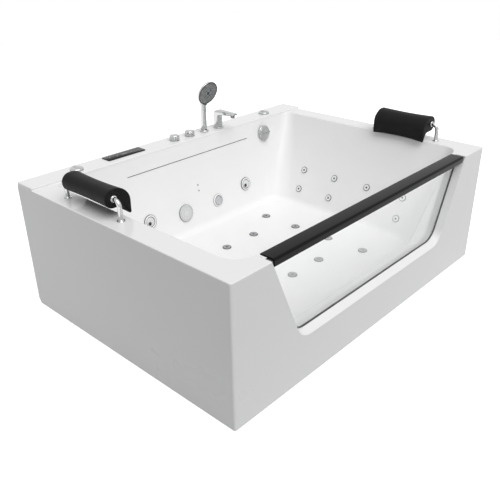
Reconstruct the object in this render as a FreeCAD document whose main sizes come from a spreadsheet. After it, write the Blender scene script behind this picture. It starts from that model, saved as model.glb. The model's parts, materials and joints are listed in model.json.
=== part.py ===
import FreeCAD, Part
import math
import os
import Sketcher

# Jetted bathtub with a glass front, for two people.
# Frame: millimetres, origin on the floor under the middle of the bath, +X along the window
# to the right, +Y from the window to the tap deck, +Z up.

Vector = FreeCAD.Vector
Rotation = FreeCAD.Rotation
Placement = FreeCAD.Placement

DRIVING_SIZES = {
    # Moulding as a whole
    "tub_length": 1800,
    "tub_width": 1300,
    "rim_height": 605,
    "deck_rise": 11,
    "deck_depth": 122,
    "end_rim": 107,
    "front_rim": 76,
    "shell_wall": 7,
    "outer_corner": 9,
    "edge_radius": 4,
    "lip_radius": 6,
    "front_corner": 80,
    "back_corner": 50,
    "floor_corner": 120,
    "floor_height": 150,
    "floor_fillet": 42,
    "backrest_angle": 25,
    "back_wall_angle": 12,
    "front_wall_angle": 8.5,
    "groove_length": 840,
    "groove_level": 529,
    "groove_width": 4,
    # Window and rail
    "window_half": 705,
    "window_sill": 203,
    "window_angle": 23.3,
    "window_corner": 90,
    "window_depth": 38,
    "window_draft": 6,
    "sill_rise": 15,
    "inner_sill_drop": 63,
    "glass_thickness": 10,
    "glass_overlap": 14,
    "seal_lip": 2,
    "seal_show": 3,
    "rail_depth": 66,
    "rail_plate": 6,
    "rail_proud": 5,
    "rail_face": 30,
    "beam_depth": 28,
    "beam_height": 15,
    # Panels, board, frame
    "panel_thickness": 5,
    "panel_toe": 4,
    "panel_return": 14,
    "panel_chamfer": 26,
    "board_thickness": 12,
    "tube_side": 30,
    "tube_wall": 2,
    "rail_spread": 393,
    "frame_inset": 28,
    "middle_member": 210,
    "foot_radius": 22,
    "foot_inset": 90,
    "stud_radius": 6,
    "shelf_thickness": 10,
    "shelf_depth": 118,
    "hose_room": 34,
    # Deck fittings
    "fitting_inset": 70,
    "tap_pitch": 105.7,
    "first_tap": -54,
    "tap_knob_radius": 26,
    "tap_knob_height": 25,
    "spindle_radius": 5,
    "valve_radius": 16,
    "inlet_radius": 10.5,
    "spout_height": 100,
    "spout_reach": 131,
    "spout_width": 36,
    "aerator_radius": 12,
    "handle_side": 26,
    "handle_height": 168,
    "head_radius": 63,
    "head_depth": 25,
    "head_height": 214,
    "head_lead": 34,
    "head_tilt": 20,
    "air_knob_inset": 259,
    "air_knob_radius": 31,
    "air_knob_height": 9,
    "keypad_inset": 536.5,
    "keypad_length": 221,
    "keypad_width": 62,
    "keypad_height": 4,
    # Wall and floor fittings
    "jet_spread": 347,
    "jet_level": 290,
    "jet_bezel": 37,
    "jet_ball": 25,
    "jet_reach": 52,
    "suction_x": -117,
    "suction_level": 264,
    "suction_radius": 45,
    "light_x": 120,
    "light_level": 262,
    "light_radius": 35,
    "sensor_level": 365,
    "sensor_spacing": 30,
    "sensor_radius": 3,
    "overflow_inset": 345,
    "overflow_level": 533,
    "overflow_radius": 43,
    "back_jet_pitch": 214,
    "back_jet_top": 328,
    "back_jet_low": 225,
    "back_jet_radius": 19,
    "floor_jet_pitch": 211,
    "floor_jet_wide": 320,
    "floor_jet_near": 100,
    "floor_jet_radius": 23,
    "stem_radius": 11,
    "drain_radius": 35,
    "drain_bore": 19,
    "drain_wall": 3,
    "guide_depth": 16,
    "outlet_radius": 20,
    "spigot_length": 44,
    "collar_depth": 4,
    "overflow_pipe_radius": 11,
    # Pillows
    "pillow_length": 300,
    "pillow_offset": 205.5,
    "roll_inset": 63,
    "roll_radius": 39,
    "roll_rise": 82,
    "flap_reach": 146,
    "bar_radius": 8,
    "bar_bend": 28,
    "bar_spread": 180,
    "bar_flange": 17,
    "bar_collar": 12,
    # Machinery
    "motor_radius": 66,
    "motor_length": 230,
    "volute_radius": 80,
    "volute_width": 60,
    "pump_inset": 400,
    "machine_inset": 95,
    "water_pipe": 20,
    "suction_pipe": 22,
    "air_header": 12,
    "air_pipe": 9,
    "blower_inset": 555,
    "blower_radius": 80,
    "blower_height": 130,
    "box_inset": 195,
    "box_length": 260,
    "box_width": 86,
    "box_height": 190,
    # Clearances
    "seat_gap": 0.2,
    "running_gap": 0.3,
}

doc = FreeCAD.newDocument("jetted_bathtub")
sheet = doc.addObject("Spreadsheet::Sheet", "Sizes")


class Size:
    """A length or angle, kept with the spreadsheet formula that works it out."""

    def __init__(self, value, formula):
        self.value = value
        self.formula = formula

    def __add__(self, other):
        return Size(self.value + number(other), f"({self.formula} + {formula(other)})")

    def __radd__(self, other):
        return Size(number(other) + self.value, f"({formula(other)} + {self.formula})")

    def __sub__(self, other):
        return Size(self.value - number(other), f"({self.formula} - {formula(other)})")

    def __rsub__(self, other):
        return Size(number(other) - self.value, f"({formula(other)} - {self.formula})")

    def __mul__(self, other):
        return Size(self.value * number(other), f"({self.formula} * {formula(other)})")

    __rmul__ = __mul__

    def __truediv__(self, other):
        return Size(self.value / number(other), f"({self.formula} / {formula(other)})")

    def __rtruediv__(self, other):
        return Size(number(other) / self.value, f"({formula(other)} / {self.formula})")

    def __neg__(self):
        return Size(-self.value, f"(-1 * {self.formula})")


def number(size):
    return size.value if isinstance(size, Size) else float(size)


def formula(size):
    return size.formula if isinstance(size, Size) else repr(float(size))


def tan(angle):
    return Size(math.tan(math.radians(number(angle))), f"tan({formula(angle)})")


def sin(angle):
    return Size(math.sin(math.radians(number(angle))), f"sin({formula(angle)})")


def cos(angle):
    return Size(math.cos(math.radians(number(angle))), f"cos({formula(angle)})")


class Sizes:
    """The driving sizes of the sheet as attributes."""


size = Sizes()
for row, (alias, value) in enumerate(DRIVING_SIZES.items(), start=1):
    sheet.set(f"A{row}", alias)
    sheet.set(f"B{row}", str(value))
    sheet.setAlias(f"B{row}", alias)
    setattr(size, alias, Size(float(value), f"Sizes.{alias}"))
doc.recompute()

# Places that several pieces share
half_length = size.tub_length / 2
front = -1 * size.tub_width / 2
back = size.tub_width / 2
rim_top = size.rim_height
rim_under = rim_top - size.shell_wall
deck_top = rim_top + size.deck_rise
deck_under = deck_top - size.shell_wall
open_x = half_length - size.end_rim
open_front = front + size.front_rim
open_back = back - size.deck_depth
basin_drop = rim_top - size.floor_height
floor_x = open_x - basin_drop * tan(size.backrest_angle)
floor_front = open_front + basin_drop * tan(size.front_wall_angle)
floor_back = open_back - basin_drop * tan(size.back_wall_angle)
basin_y = (floor_front + floor_back) / 2
fitting_y = back - size.fitting_inset
shell_bottom = size.floor_height - size.shell_wall
board_top = shell_bottom - size.seat_gap
board_under = board_top - size.board_thickness
rail_level = board_under - size.seat_gap - size.tube_side
member_level = rail_level - size.seat_gap - size.tube_side
shelf_level = rail_level
shelf_top = shelf_level + size.shelf_thickness
post_x = half_length - size.frame_inset
post_y = back - size.tube_side * 1.5
glass_outer = front + size.window_depth
glass_inner = glass_outer + size.glass_thickness
glass_top = rim_under - 3 * size.seal_lip
window_face = glass_inner + size.seal_lip
beam_top = rim_under - size.seat_gap
beam_bottom = beam_top - size.beam_height
beam_front = front + size.rail_plate + size.seal_lip / 2
machine_y = back - size.machine_inset
pump_x = size.pump_inset - half_length
blower_x = half_length - size.blower_inset
box_x = half_length - size.box_inset
overflow_x = half_length - size.overflow_inset
air_knob_x = half_length - size.air_knob_inset
keypad_x = size.keypad_inset - half_length
tap_x = [size.first_tap + size.tap_pitch * i for i in range(4)]
hot_x, cold_x, shower_x, spout_x = tap_x


def back_wall_y(level):
    return open_back - (rim_top - level) * tan(size.back_wall_angle)


def end_wall_x(level):
    return open_x - (rim_top - level) * tan(size.backrest_angle)


# ---------------------------------------------------------------- building helpers


def bind(item, path, value):
    """Ties one property or constraint of an object to its formula in the sheet."""
    item.setExpression(path, formula(value))


def place(item, x=0, y=0, z=0, axis=(0, 0, 1), angle=0):
    """Puts an object in its place and keeps the place tied to the sheet."""
    base = Vector(number(x), number(y), number(z))
    item.Placement = Placement(base, Rotation(Vector(*axis), number(angle)))
    for letter, value in (("x", x), ("y", y), ("z", z)):
        if isinstance(value, Size):
            bind(item, f"Placement.Base.{letter}", value)
    if isinstance(angle, Size):
        bind(item, "Placement.Rotation.Angle", angle)
    return item


def outline(sketch, corners, radii=None):
    """Closes an outline through the corners; each radius rounds its corner."""
    count = len(corners)
    radii = radii or [0] * count
    points = [Vector(number(x), number(y), 0) for x, y in corners]
    ends = []
    for i in range(count):
        toward = (points[i - 1] - points[i]).normalize()
        away = (points[(i + 1) % count] - points[i]).normalize()
        angle = toward.getAngle(away)
        trim = number(radii[i]) / math.tan(angle / 2)
        middle = (toward + away).normalize()
        centre = points[i] + middle * (number(radii[i]) / math.sin(angle / 2))
        ends.append((points[i] + toward * trim, points[i] + away * trim, centre))
    marks = []
    for i in range(count):
        mark = sketch.addGeometry(Part.Point(points[i]), True)
        for kind, value in (("DistanceX", corners[i][0]), ("DistanceY", corners[i][1])):
            sketch.addConstraint(Sketcher.Constraint(kind, -1, 1, mark, 1, number(value)))
            bind(sketch, f"Constraints[{sketch.ConstraintCount - 1}]", value)
        marks.append(mark)
    lines = []
    for i in range(count):
        start = ends[i][1]
        stop = ends[(i + 1) % count][0]
        lines.append(sketch.addGeometry(Part.LineSegment(start, stop), False))
    for i in range(count):
        before = lines[i - 1]
        after = lines[i]
        if number(radii[i]) == 0:
            sketch.addConstraint(Sketcher.Constraint("Coincident", before, 2, marks[i], 1))
            sketch.addConstraint(Sketcher.Constraint("Coincident", after, 1, marks[i], 1))
            continue
        enter, leave, centre = ends[i]
        first = math.atan2(enter.y - centre.y, enter.x - centre.x)
        last = math.atan2(leave.y - centre.y, leave.x - centre.x)
        turn = (points[i] - points[i - 1]).cross(points[(i + 1) % count] - points[i]).z
        circle = Part.Circle(centre, Vector(0, 0, 1), number(radii[i]))
        left = turn > 0
        span = (first, last) if left else (last, first)
        arc = sketch.addGeometry(Part.ArcOfCircle(circle, *span), False)
        sketch.addConstraint(Sketcher.Constraint("PointOnObject", marks[i], 1, before))
        sketch.addConstraint(Sketcher.Constraint("PointOnObject", marks[i], 1, after))
        sketch.addConstraint(Sketcher.Constraint("Tangent", before, 2, arc, 1 if left else 2))
        sketch.addConstraint(Sketcher.Constraint("Tangent", arc, 2 if left else 1, after, 1))
        sketch.addConstraint(Sketcher.Constraint("Radius", arc, number(radii[i])))
        bind(sketch, f"Constraints[{sketch.ConstraintCount - 1}]", radii[i])
    return sketch


def ring(sketch, radius, x=0, y=0):
    """Draws a circle held by its centre and radius."""
    circle = Part.Circle(Vector(number(x), number(y), 0), Vector(0, 0, 1), number(radius))
    edge = sketch.addGeometry(circle, False)
    for kind, value in (("DistanceX", x), ("DistanceY", y)):
        sketch.addConstraint(Sketcher.Constraint(kind, -1, 1, edge, 3, number(value)))
        bind(sketch, f"Constraints[{sketch.ConstraintCount - 1}]", value)
    sketch.addConstraint(Sketcher.Constraint("Radius", edge, number(radius)))
    bind(sketch, f"Constraints[{sketch.ConstraintCount - 1}]", radius)
    return sketch


class Piece:
    """One body of the document, grown feature by feature."""

    def __init__(self, label):
        self.label = label
        self.body = doc.addObject("PartDesign::Body", label)
        self.body.Label = label
        self.count = 0

    def _name(self, word):
        self.count += 1
        return f"{self.label}_{word}_{self.count}"

    def sketch(self, plane, at=0):
        """A sketch on an origin plane of the body, moved along the frame's positive axis."""
        item = self.body.newObject("Sketcher::SketchObject", self._name("sketch"))
        role = plane + "_Plane"
        support = [f for f in self.body.Origin.OriginFeatures if f.Role == role][0]
        item.AttachmentSupport = [(support, "")]
        item.MapMode = "FlatFace"
        along = -at if plane == "XZ" else at
        if number(along) != 0:
            item.AttachmentOffset = Placement(Vector(0, 0, number(along)), Rotation())
            bind(item, "AttachmentOffset.Base.z", along)
        return item

    def _solid(self, kind, profile, length, reverse, symmetric):
        item = self.body.newObject(kind, self._name("feature"))
        item.Profile = profile
        item.Length = number(length)
        bind(item, "Length", length)
        item.Reversed = reverse
        if symmetric:
            item.SideType = "Symmetric"
        profile.Visibility = False
        return item

    def pad(self, profile, length, reverse=False, symmetric=False):
        return self._solid("PartDesign::Pad", profile, length, reverse, symmetric)

    def pocket(self, profile, length, reverse=False, symmetric=False):
        doc.recompute()
        before = self.body.Shape.Volume
        item = self._solid("PartDesign::Pocket", profile, length, reverse, symmetric)
        doc.recompute()
        if self.body.Shape.Volume > before - 1e-3:
            raise RuntimeError(f"{self.label}: a pocket removes nothing")
        return item

    def turn(self, corners, radii=None):
        """Turns an outline of (radius, height) corners about the body's Z axis."""
        profile = outline(self.sketch("XZ"), corners, radii)
        item = self.body.newObject("PartDesign::Revolution", self._name("turned"))
        item.Profile = profile
        item.ReferenceAxis = (profile, ["V_Axis"])
        item.Angle = 360
        return item

    def loft(self, profiles, cut=False):
        kind = "PartDesign::SubtractiveLoft" if cut else "PartDesign::AdditiveLoft"
        item = self.body.newObject(kind, self._name("loft"))
        item.Profile = profiles[0]
        item.Sections = profiles[1:]
        item.Ruled = True
        return item

    def fillet(self, radius, choose):
        """Rounds the edges that the test picks."""
        doc.recompute()
        tip = self.body.Tip
        names = [f"Edge{i}" for i, edge in enumerate(tip.Shape.Edges, start=1) if choose(edge)]
        item = self.body.newObject("PartDesign::Fillet", self._name("fillet"))
        item.Base = (tip, names)
        item.Radius = number(radius)
        bind(item, "Radius", radius)
        return item

    def repeat(self, feature, axis, length, times):
        """Repeats a feature along an axis of the body."""
        item = self.body.newObject("PartDesign::LinearPattern", self._name("pattern"))
        item.Originals = [feature]
        support = [f for f in self.body.Origin.OriginFeatures if f.Role == axis + "_Axis"][0]
        item.Direction = (support, [""])
        item.Length = number(length)
        bind(item, "Length", length)
        item.Occurrences = times
        self.body.Tip = item
        return item

    def repeat_round(self, feature, times):
        """Repeats a feature round the body's Z axis."""
        item = self.body.newObject("PartDesign::PolarPattern", self._name("polar"))
        item.Originals = [feature]
        support = [f for f in self.body.Origin.OriginFeatures if f.Role == "Z_Axis"][0]
        item.Axis = (support, [""])
        item.Angle = 360
        item.Occurrences = times
        self.body.Tip = item
        return item


finished = []


def finish(item, label=None):
    """Registers an object as one sub-part of the bath."""
    if label:
        item.Label = label
    finished.append(item)
    return item


def box(name, x, y, z, length, width, height):
    """A box by its least corner and its sides."""
    item = doc.addObject("Part::Box", name)
    for prop, value in (("Length", length), ("Width", width), ("Height", height)):
        setattr(item, prop, number(value))
        bind(item, prop, value)
    return place(item, x, y, z)


def rod(name, radius, height, x=0, y=0, z=0, axis=(0, 0, 1), angle=0):
    """A round bar from its base centre along its own axis."""
    item = doc.addObject("Part::Cylinder", name)
    for prop, value in (("Radius", radius), ("Height", height)):
        setattr(item, prop, number(value))
        bind(item, prop, value)
    return place(item, x, y, z, axis, angle)


def cut(name, base, tools):
    """Takes the tools away from the base."""
    tool = tools[0]
    if len(tools) > 1:
        tool = doc.addObject("Part::Compound", name + "_tools")
        tool.Links = tools
    item = doc.addObject("Part::Cut", name)
    item.Base = base
    item.Tool = tool
    return item


def fuse(name, parts):
    item = doc.addObject("Part::MultiFuse", name)
    item.Shapes = parts
    item.Refine = True
    return item


def group(name, parts):
    """Identical separate pieces that share one sub-part."""
    item = doc.addObject("Part::Compound", name)
    item.Links = parts
    return finish(item, name)


def pipe(name, route, radius, bends):
    """A round pipe of straight lengths and elbows."""
    points = [Vector(*(number(value) for value in point)) for point in route]
    lengths = []
    start = points[0]
    for i in range(1, len(points) - 1):
        toward = (points[i - 1] - points[i]).normalize()
        away = (points[i + 1] - points[i]).normalize()
        half = toward.getAngle(away) / 2
        bend = number(bends[i - 1])
        enter = points[i] + toward * (bend / math.tan(half))
        leave = points[i] + away * (bend / math.tan(half))
        middle = (toward + away).normalize()
        centre = points[i] + middle * (bend / math.sin(half))
        lengths.append(_straight(start, enter, number(radius)))
        disc = Part.Face(Part.Wire([Part.makeCircle(number(radius), enter, toward)]))
        turn = 180 - math.degrees(2 * half)
        lengths.append(disc.revolve(centre, away.cross(toward) * -1, -turn))
        start = leave
    lengths.append(_straight(start, points[-1], number(radius)))
    shape = lengths[0].multiFuse(lengths[1:]) if len(lengths) > 1 else lengths[0]
    item = doc.addObject("Part::Feature", name)
    item.Shape = shape.Solids[0]
    return item


def _straight(start, stop, radius):
    return Part.makeCylinder(radius, (stop - start).Length, start, stop - start)


BACK_TILT = 90 - size.back_wall_angle
END_TILT = 90 - size.backrest_angle


def on_back_wall(item, x, level):
    """Puts a fitting on the back wall with its +Z axis pointing into the bath."""
    return place(item, x, back_wall_y(level), level, (1, 0, 0), BACK_TILT)


def on_end_wall(item, side, y, level):
    """Puts a fitting on the left (-1) or right (+1) backrest, +Z into the bath."""
    return place(item, side * end_wall_x(level), y, level, (0, 1, 0), -side * END_TILT)


# ---------------------------------------------------------------- moulded shell


def basin_outline(sketch, level, grow):
    """The basin's rounded outline at a level, moved outward by grow."""
    drop = rim_top - level
    share = drop / basin_drop
    x = open_x - drop * tan(size.backrest_angle) + grow
    near = open_front + drop * tan(size.front_wall_angle) - grow
    far = open_back - drop * tan(size.back_wall_angle) + grow
    near_radius = size.front_corner + (size.floor_corner - size.front_corner) * share + grow
    far_radius = size.back_corner + (size.floor_corner - size.back_corner) * share + grow
    corners = [(-x, near), (x, near), (x, far), (-x, far)]
    return outline(sketch, corners, [near_radius, near_radius, far_radius, far_radius])


def window_outline(sketch, sill, top, grow=0, narrow=0):
    """The window's trapezoid with rounded lower corners, moved outward by grow."""
    widen = grow / cos(size.window_angle) - narrow
    low = size.window_half - (rim_top - sill + grow) * tan(size.window_angle) + widen
    high = size.window_half - (rim_top - top) * tan(size.window_angle) + widen
    corners = [(-low, sill - grow), (low, sill - grow), (high, top), (-high, top)]
    radius = size.window_corner + grow
    return outline(sketch, corners, [radius, radius, 0, 0])


opening_sill = size.window_sill + size.sill_rise
inner_sill = opening_sill - size.inner_sill_drop
inner_window_y = floor_front + size.tube_side


def deck_drills():
    """Holes through the deck for the valves, the spout, the hand shower and the keypad."""
    below = deck_under - size.shell_wall
    depth = 3 * size.shell_wall
    stem = size.valve_radius + size.running_gap
    tools = [rod(f"deck_drill_{i}", stem, depth, x, fitting_y, below) for i, x in enumerate(tap_x)]
    for side, word in ((-1, "left"), (1, "right")):
        tools.append(rod(f"{word}_air_drill", stem, depth, side * air_knob_x, fitting_y, below))
    gap = size.running_gap
    length = keypad_body_length + 2 * gap
    width = keypad_body_width + 2 * gap
    x = keypad_x - length / 2
    tools.append(box("keypad_cutout", x, keypad_y - width / 2, below, length, width, depth))
    return tools


keypad_y = open_back + size.deck_depth * 0.56
keypad_body_length = size.keypad_length - 24
keypad_body_width = size.keypad_width - 22


drill_depth = 6 * size.shell_wall


def back_wall_drills():
    """Holes for the large jets, the suction, the light, the sensors and the overflow."""
    holes = [
        (-size.jet_spread, size.jet_level, jet_body_radius),
        (size.jet_spread, size.jet_level, jet_body_radius),
        (size.suction_x, size.suction_level, suction_body_radius),
        (size.light_x, size.light_level, light_body_radius),
        (overflow_x, size.overflow_level, overflow_stem),
        (0, size.sensor_level - size.sensor_spacing / 2, sensor_stem),
        (0, size.sensor_level + size.sensor_spacing / 2, sensor_stem),
    ]
    tools = []
    for x, level, radius in holes:
        drill = rod("back_drill", radius + size.running_gap, drill_depth)
        y = back_wall_y(level) - drill_depth / 2 * cos(size.back_wall_angle)
        z = level + drill_depth / 2 * sin(size.back_wall_angle)
        tools.append(place(drill, x, y, z, (1, 0, 0), BACK_TILT + 180))
    return tools


def end_wall_drills():
    """Holes for the jets of both backrests."""
    tools = []
    for side in (-1, 1):
        for y, level in back_jet_places():
            drill = rod("end_drill", size.stem_radius + size.running_gap, drill_depth)
            x = end_wall_x(level) - drill_depth / 2 * cos(size.backrest_angle)
            z = level + drill_depth / 2 * sin(size.backrest_angle)
            tools.append(place(drill, side * x, y, z, (0, 1, 0), side * (180 - END_TILT)))
    return tools


def floor_drills():
    """Holes for the floor's air jets and the waste."""
    low = shell_bottom - size.shell_wall
    radius = size.stem_radius + size.running_gap
    tools = [rod("floor_drill", radius, drill_depth, x, y, low) for x, y in floor_jet_places()]
    waste = size.drain_bore + 2 * size.drain_wall + size.running_gap
    tools.append(rod("drain_drill", waste, drill_depth, 0, basin_y, low))
    return tools


jet_body_radius = size.jet_ball + 4
suction_body_radius = size.suction_radius - 15
light_body_radius = size.light_radius - 10
overflow_stem = size.valve_radius
sensor_stem = size.sensor_radius


def back_jet_places():
    offsets = (-1.5, -0.5, 0.5, 1.5)
    levels = (size.back_jet_low, size.back_jet_top)
    return [(basin_y + size.back_jet_pitch * o, level) for o in offsets for level in levels]


def floor_jet_places():
    wide = [(side * size.floor_jet_wide, o) for side in (-1, 1) for o in (-1.5, -0.5, 0.5, 1.5)]
    near = [(side * size.floor_jet_near, o) for side in (-1, 1) for o in (-1, 1)]
    return [(x, basin_y + size.floor_jet_pitch * o) for x, o in wide + near]


def flat_faced(shape):
    """The same solid with true planes for all its flat faces."""
    faces = []
    for face in shape.Faces:
        if face.Surface.isPlanar(1e-5):
            points = [vertex.Point for vertex in face.OuterWire.Vertexes]
            face = Part.Face(Part.Plane(points[0], points[1], points[2]), face.OuterWire)
        faces.append(face)
    shell = Part.Shell(faces)
    shell.sewShape()
    solid = Part.Solid(shell)
    if solid.Volume < 0:
        solid.reverse()
    return solid


def rounded_block(name, low_level, high_level, grow, radius):
    """The basin as a block between two levels, its bottom edge rounded all the way round."""
    block = Piece(name + "_block")
    low = basin_outline(block.sketch("XY", low_level), low_level, grow)
    high = basin_outline(block.sketch("XY", high_level), high_level, grow)
    block.loft([low, high])
    doc.recompute()
    solid = flat_faced(block.body.Shape)
    bottom = number(low_level)
    edges = [e for e in solid.Edges if abs(e.BoundBox.ZMax - bottom) < 0.01]
    shape = solid.makeFillet(number(radius), edges)
    shape.fix(1e-4, 1e-4, 1e-2)
    item = doc.addObject("Part::Feature", name)
    item.Shape = shape
    return item


def rim_and_deck():
    """Flat rim with the raised tap deck, a skin whose underside is hollow."""
    rim = Piece("rim")
    plate = rim.sketch("XY", rim_under)
    corners = [(-half_length, front), (half_length, front), (half_length, back), (-half_length, back)]
    outline(plate, corners, [size.outer_corner] * 4)
    rim.pad(plate, size.shell_wall)
    deck = rim.sketch("XY", rim_under)
    corners = [
        (-half_length, open_back),
        (half_length, open_back),
        (half_length, back),
        (-half_length, back),
    ]
    outline(deck, corners, [0, 0, size.outer_corner, size.outer_corner])
    rim.pad(deck, size.shell_wall + size.deck_rise)
    hollow = rim.sketch("XY", rim_under)
    x = half_length - size.shell_wall
    near = open_back + size.shell_wall
    far = back - size.shell_wall
    outline(hollow, [(-x, near), (x, near), (x, far), (-x, far)])
    rim.pocket(hollow, size.deck_rise, reverse=True)
    gap = rim.sketch("XY", rim_under)
    x = size.window_half
    near = front - size.shell_wall
    outline(gap, [(-x, near), (x, near), (x, window_face), (-x, window_face)])
    rim.pocket(gap, 2 * size.shell_wall, reverse=True)
    rim.fillet(size.edge_radius, on_outer_edge)
    return rim.body


def on_outer_edge(edge):
    """Picks the top edges along the outside of the rim and round the deck."""
    spot = edge.BoundBox
    level = spot.ZMin
    if spot.ZLength > 0.01 or level < number(rim_top) - 0.01:
        return False
    outside = (
        spot.XMin > number(half_length - size.outer_corner) - 0.01
        or spot.XMax < number(size.outer_corner - half_length) + 0.01
        or spot.YMax < number(front + size.outer_corner) + 0.01
    )
    return outside or level > number(deck_top) - 0.01


def window_tunnel(name, start, top, grow):
    """The window's trapezoid drawn from the glass to the floor along the sloping sill."""
    tunnel = Piece(name)
    sections = []
    for y, sill in ((start, opening_sill), (inner_window_y, inner_sill)):
        sections.append(window_outline(tunnel.sketch("XZ", y), sill, top, grow, size.window_draft))
    tunnel.loft(sections)
    return tunnel


def round_lip(name, moulding):
    """Rounds the lip of the basin along both backrests and beside the window."""
    doc.recompute()
    lip = []
    for i, edge in enumerate(moulding.Shape.Edges, start=1):
        spot = edge.BoundBox
        level = abs(spot.ZMin - number(rim_top)) + abs(spot.ZMax - number(rim_top))
        inside = (
            max(-spot.XMin, spot.XMax) < number(open_x) + 0.1
            and spot.YMin > number(open_front) - 0.1
            and spot.YMax < number(open_back) - 0.1
        )
        if level < 0.02 and inside:
            lip.append((i, number(size.lip_radius), number(size.lip_radius)))
    item = doc.addObject("Part::Fillet", name)
    item.Base = moulding
    item.Edges = lip
    return item


def tub_shell():
    """Moulded skin: basin, rim, tap deck and the housing round the window."""
    block_top = rim_top - size.shell_wall / 2
    fillet = size.floor_fillet + size.shell_wall
    outer = rounded_block("outer_basin", shell_bottom, block_top, size.shell_wall, fillet)
    housing = window_tunnel("window_housing", window_face, rim_under, size.shell_wall)
    flange = housing.sketch("XZ", window_face)
    grow = size.glass_overlap + size.seal_lip
    window_outline(flange, opening_sill, rim_under, grow, size.window_draft)
    housing.pad(flange, size.shell_wall, reverse=True)
    moulding = fuse("moulding", [rim_and_deck(), outer, housing.body])
    basin = rounded_block("basin_space", size.floor_height, rim_top, 0, size.floor_fillet)
    window = window_tunnel("window_space", window_face - size.seat_gap, deck_top, 0)
    hollowed = cut("hollowed_moulding", cut("open_moulding", moulding, [basin]), [window.body])
    lipped = round_lip("lipped_moulding", hollowed)
    groove = box("groove_tool", 0, 0, 0, size.groove_length, size.groove_width, size.groove_width)
    y = back_wall_y(size.groove_level)
    place(groove, -size.groove_length / 2, y - size.groove_width / 2, size.groove_level)
    shell = cut("grooved_moulding", lipped, [groove])
    for i, drills in enumerate((deck_drills(), back_wall_drills(), end_wall_drills(), floor_drills())):
        shell = cut(f"drilled_moulding_{i}", shell, drills)
    return finish(shell, "tub_shell")


# ---------------------------------------------------------------- window and rail


def front_panel():
    panel = Piece("front_panel")
    low = size.panel_toe
    plan = panel.sketch("XY", low)
    wall = size.panel_thickness
    turn_back = front + size.panel_return
    corners = [
        (-half_length, front),
        (half_length, front),
        (half_length, turn_back),
        (half_length - wall, turn_back),
        (half_length - wall, front + wall),
        (-half_length + wall, front + wall),
        (-half_length + wall, turn_back),
        (-half_length, turn_back),
    ]
    inner = size.outer_corner - wall
    radii = [size.outer_corner, size.outer_corner, 0, 0, inner, inner, 0, 0]
    outline(plan, corners, radii)
    panel.pad(plan, rim_under - size.seat_gap - low)
    # Drafted return that leads to the glass; it stops under the rail's beam
    stop = glass_outer - size.seal_lip - size.seat_gap
    ledge = beam_bottom - size.running_gap
    places = ((front, size.window_sill, 0), (stop, opening_sill, size.window_draft))
    outer = []
    for y, sill, narrow in places:
        outer.append(window_outline(panel.sketch("XZ", y), sill, ledge, wall, narrow))
    panel.loft(outer)
    inner = []
    for y, sill, narrow in places:
        inner.append(window_outline(panel.sketch("XZ", y), sill, deck_top, 0, narrow))
    panel.loft(inner, cut=True)
    return finish(panel.body)


def end_panel(side, word):
    panel = Piece(f"{word}_end_panel")
    face = half_length - size.panel_thickness
    x = face if side > 0 else -half_length
    profile = panel.sketch("YZ", x)
    near = front + size.panel_return + size.seat_gap
    low = size.panel_toe
    high = rim_under - size.seat_gap
    chamfer = size.panel_chamfer
    corners = [(near, low), (back - chamfer / 2, low), (back, low + chamfer), (back, high), (near, high)]
    outline(profile, corners)
    panel.pad(profile, size.panel_thickness)
    return finish(panel.body)


def window_glass():
    glass = Piece("window_glass")
    sketch = glass.sketch("XZ", glass_outer)
    window_outline(sketch, opening_sill, glass_top, size.glass_overlap, size.window_draft)
    glass.pad(sketch, size.glass_thickness, reverse=True)
    return finish(glass.body)


def window_seal():
    seal = Piece("window_seal")
    around = size.glass_overlap + size.running_gap
    sketch = seal.sketch("XZ", glass_outer - size.seal_lip)
    top = glass_top
    window_outline(sketch, opening_sill, top, around + size.seal_lip, size.window_draft)
    seal.pad(sketch, size.glass_thickness + 2 * size.seal_lip - size.seat_gap, reverse=True)
    groove = seal.sketch("XZ", glass_outer - size.seat_gap / 2)
    window_outline(groove, opening_sill, rim_top, around, size.window_draft)
    seal.pocket(groove, size.glass_thickness + size.seat_gap)
    through = seal.sketch("XZ", glass_outer - 2 * size.seal_lip)
    show = size.window_draft + size.seal_show
    window_outline(through, opening_sill + size.seal_show, rim_top, 0, show)
    seal.pocket(through, size.glass_thickness + 4 * size.seal_lip)
    return finish(seal.body)


rail_half = size.window_half - (size.rail_face - size.rail_proud) * tan(size.window_angle) - 2


def rail_cap():
    cap = Piece("rail_cap")
    top = rim_top + size.rail_proud
    plate = size.rail_plate
    rear = front + size.rail_depth
    profile = cap.sketch("YZ", 0)
    corners = [
        (front, top - size.rail_face),
        (front + plate, top - size.rail_face),
        (front + plate, top - plate),
        (rear, top - plate),
        (rear, top),
        (front, top),
    ]
    outer = size.outer_corner
    outline(profile, corners, [0, 0, outer - plate, 0, 0, outer])
    cap.pad(profile, 2 * rail_half, symmetric=True)
    # Ribs that bear on the beam
    rib = cap.sketch("YZ", -rail_half + size.tube_side)
    near = beam_front + size.seal_lip
    far = beam_front + size.beam_depth - size.seal_lip
    bearing = beam_top + size.running_gap
    high = top - plate / 2
    outline(rib, [(near, bearing), (far, bearing), (far, high), (near, high)])
    rib_pad = cap.pad(rib, plate)
    cap.repeat(rib_pad, "X", 2 * rail_half - 2 * size.tube_side - plate, 6)
    return finish(cap.body)


def tube_ring(sketch, x, y, width, height, wall):
    """A hollow rectangle by its least corner."""
    outline(sketch, [(x, y), (x + width, y), (x + width, y + height), (x, y + height)])
    corners = [
        (x + wall, y + wall),
        (x + width - wall, y + wall),
        (x + width - wall, y + height - wall),
        (x + wall, y + height - wall),
    ]
    return outline(sketch, corners)


def rail_beam():
    beam = Piece("rail_beam")
    profile = beam.sketch("YZ", 0)
    tube_ring(profile, beam_front, beam_bottom, size.beam_depth, size.beam_height, size.tube_wall)
    beam.pad(profile, 2 * (size.window_half + 2 * size.tube_side), symmetric=True)
    return finish(beam.body)


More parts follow.
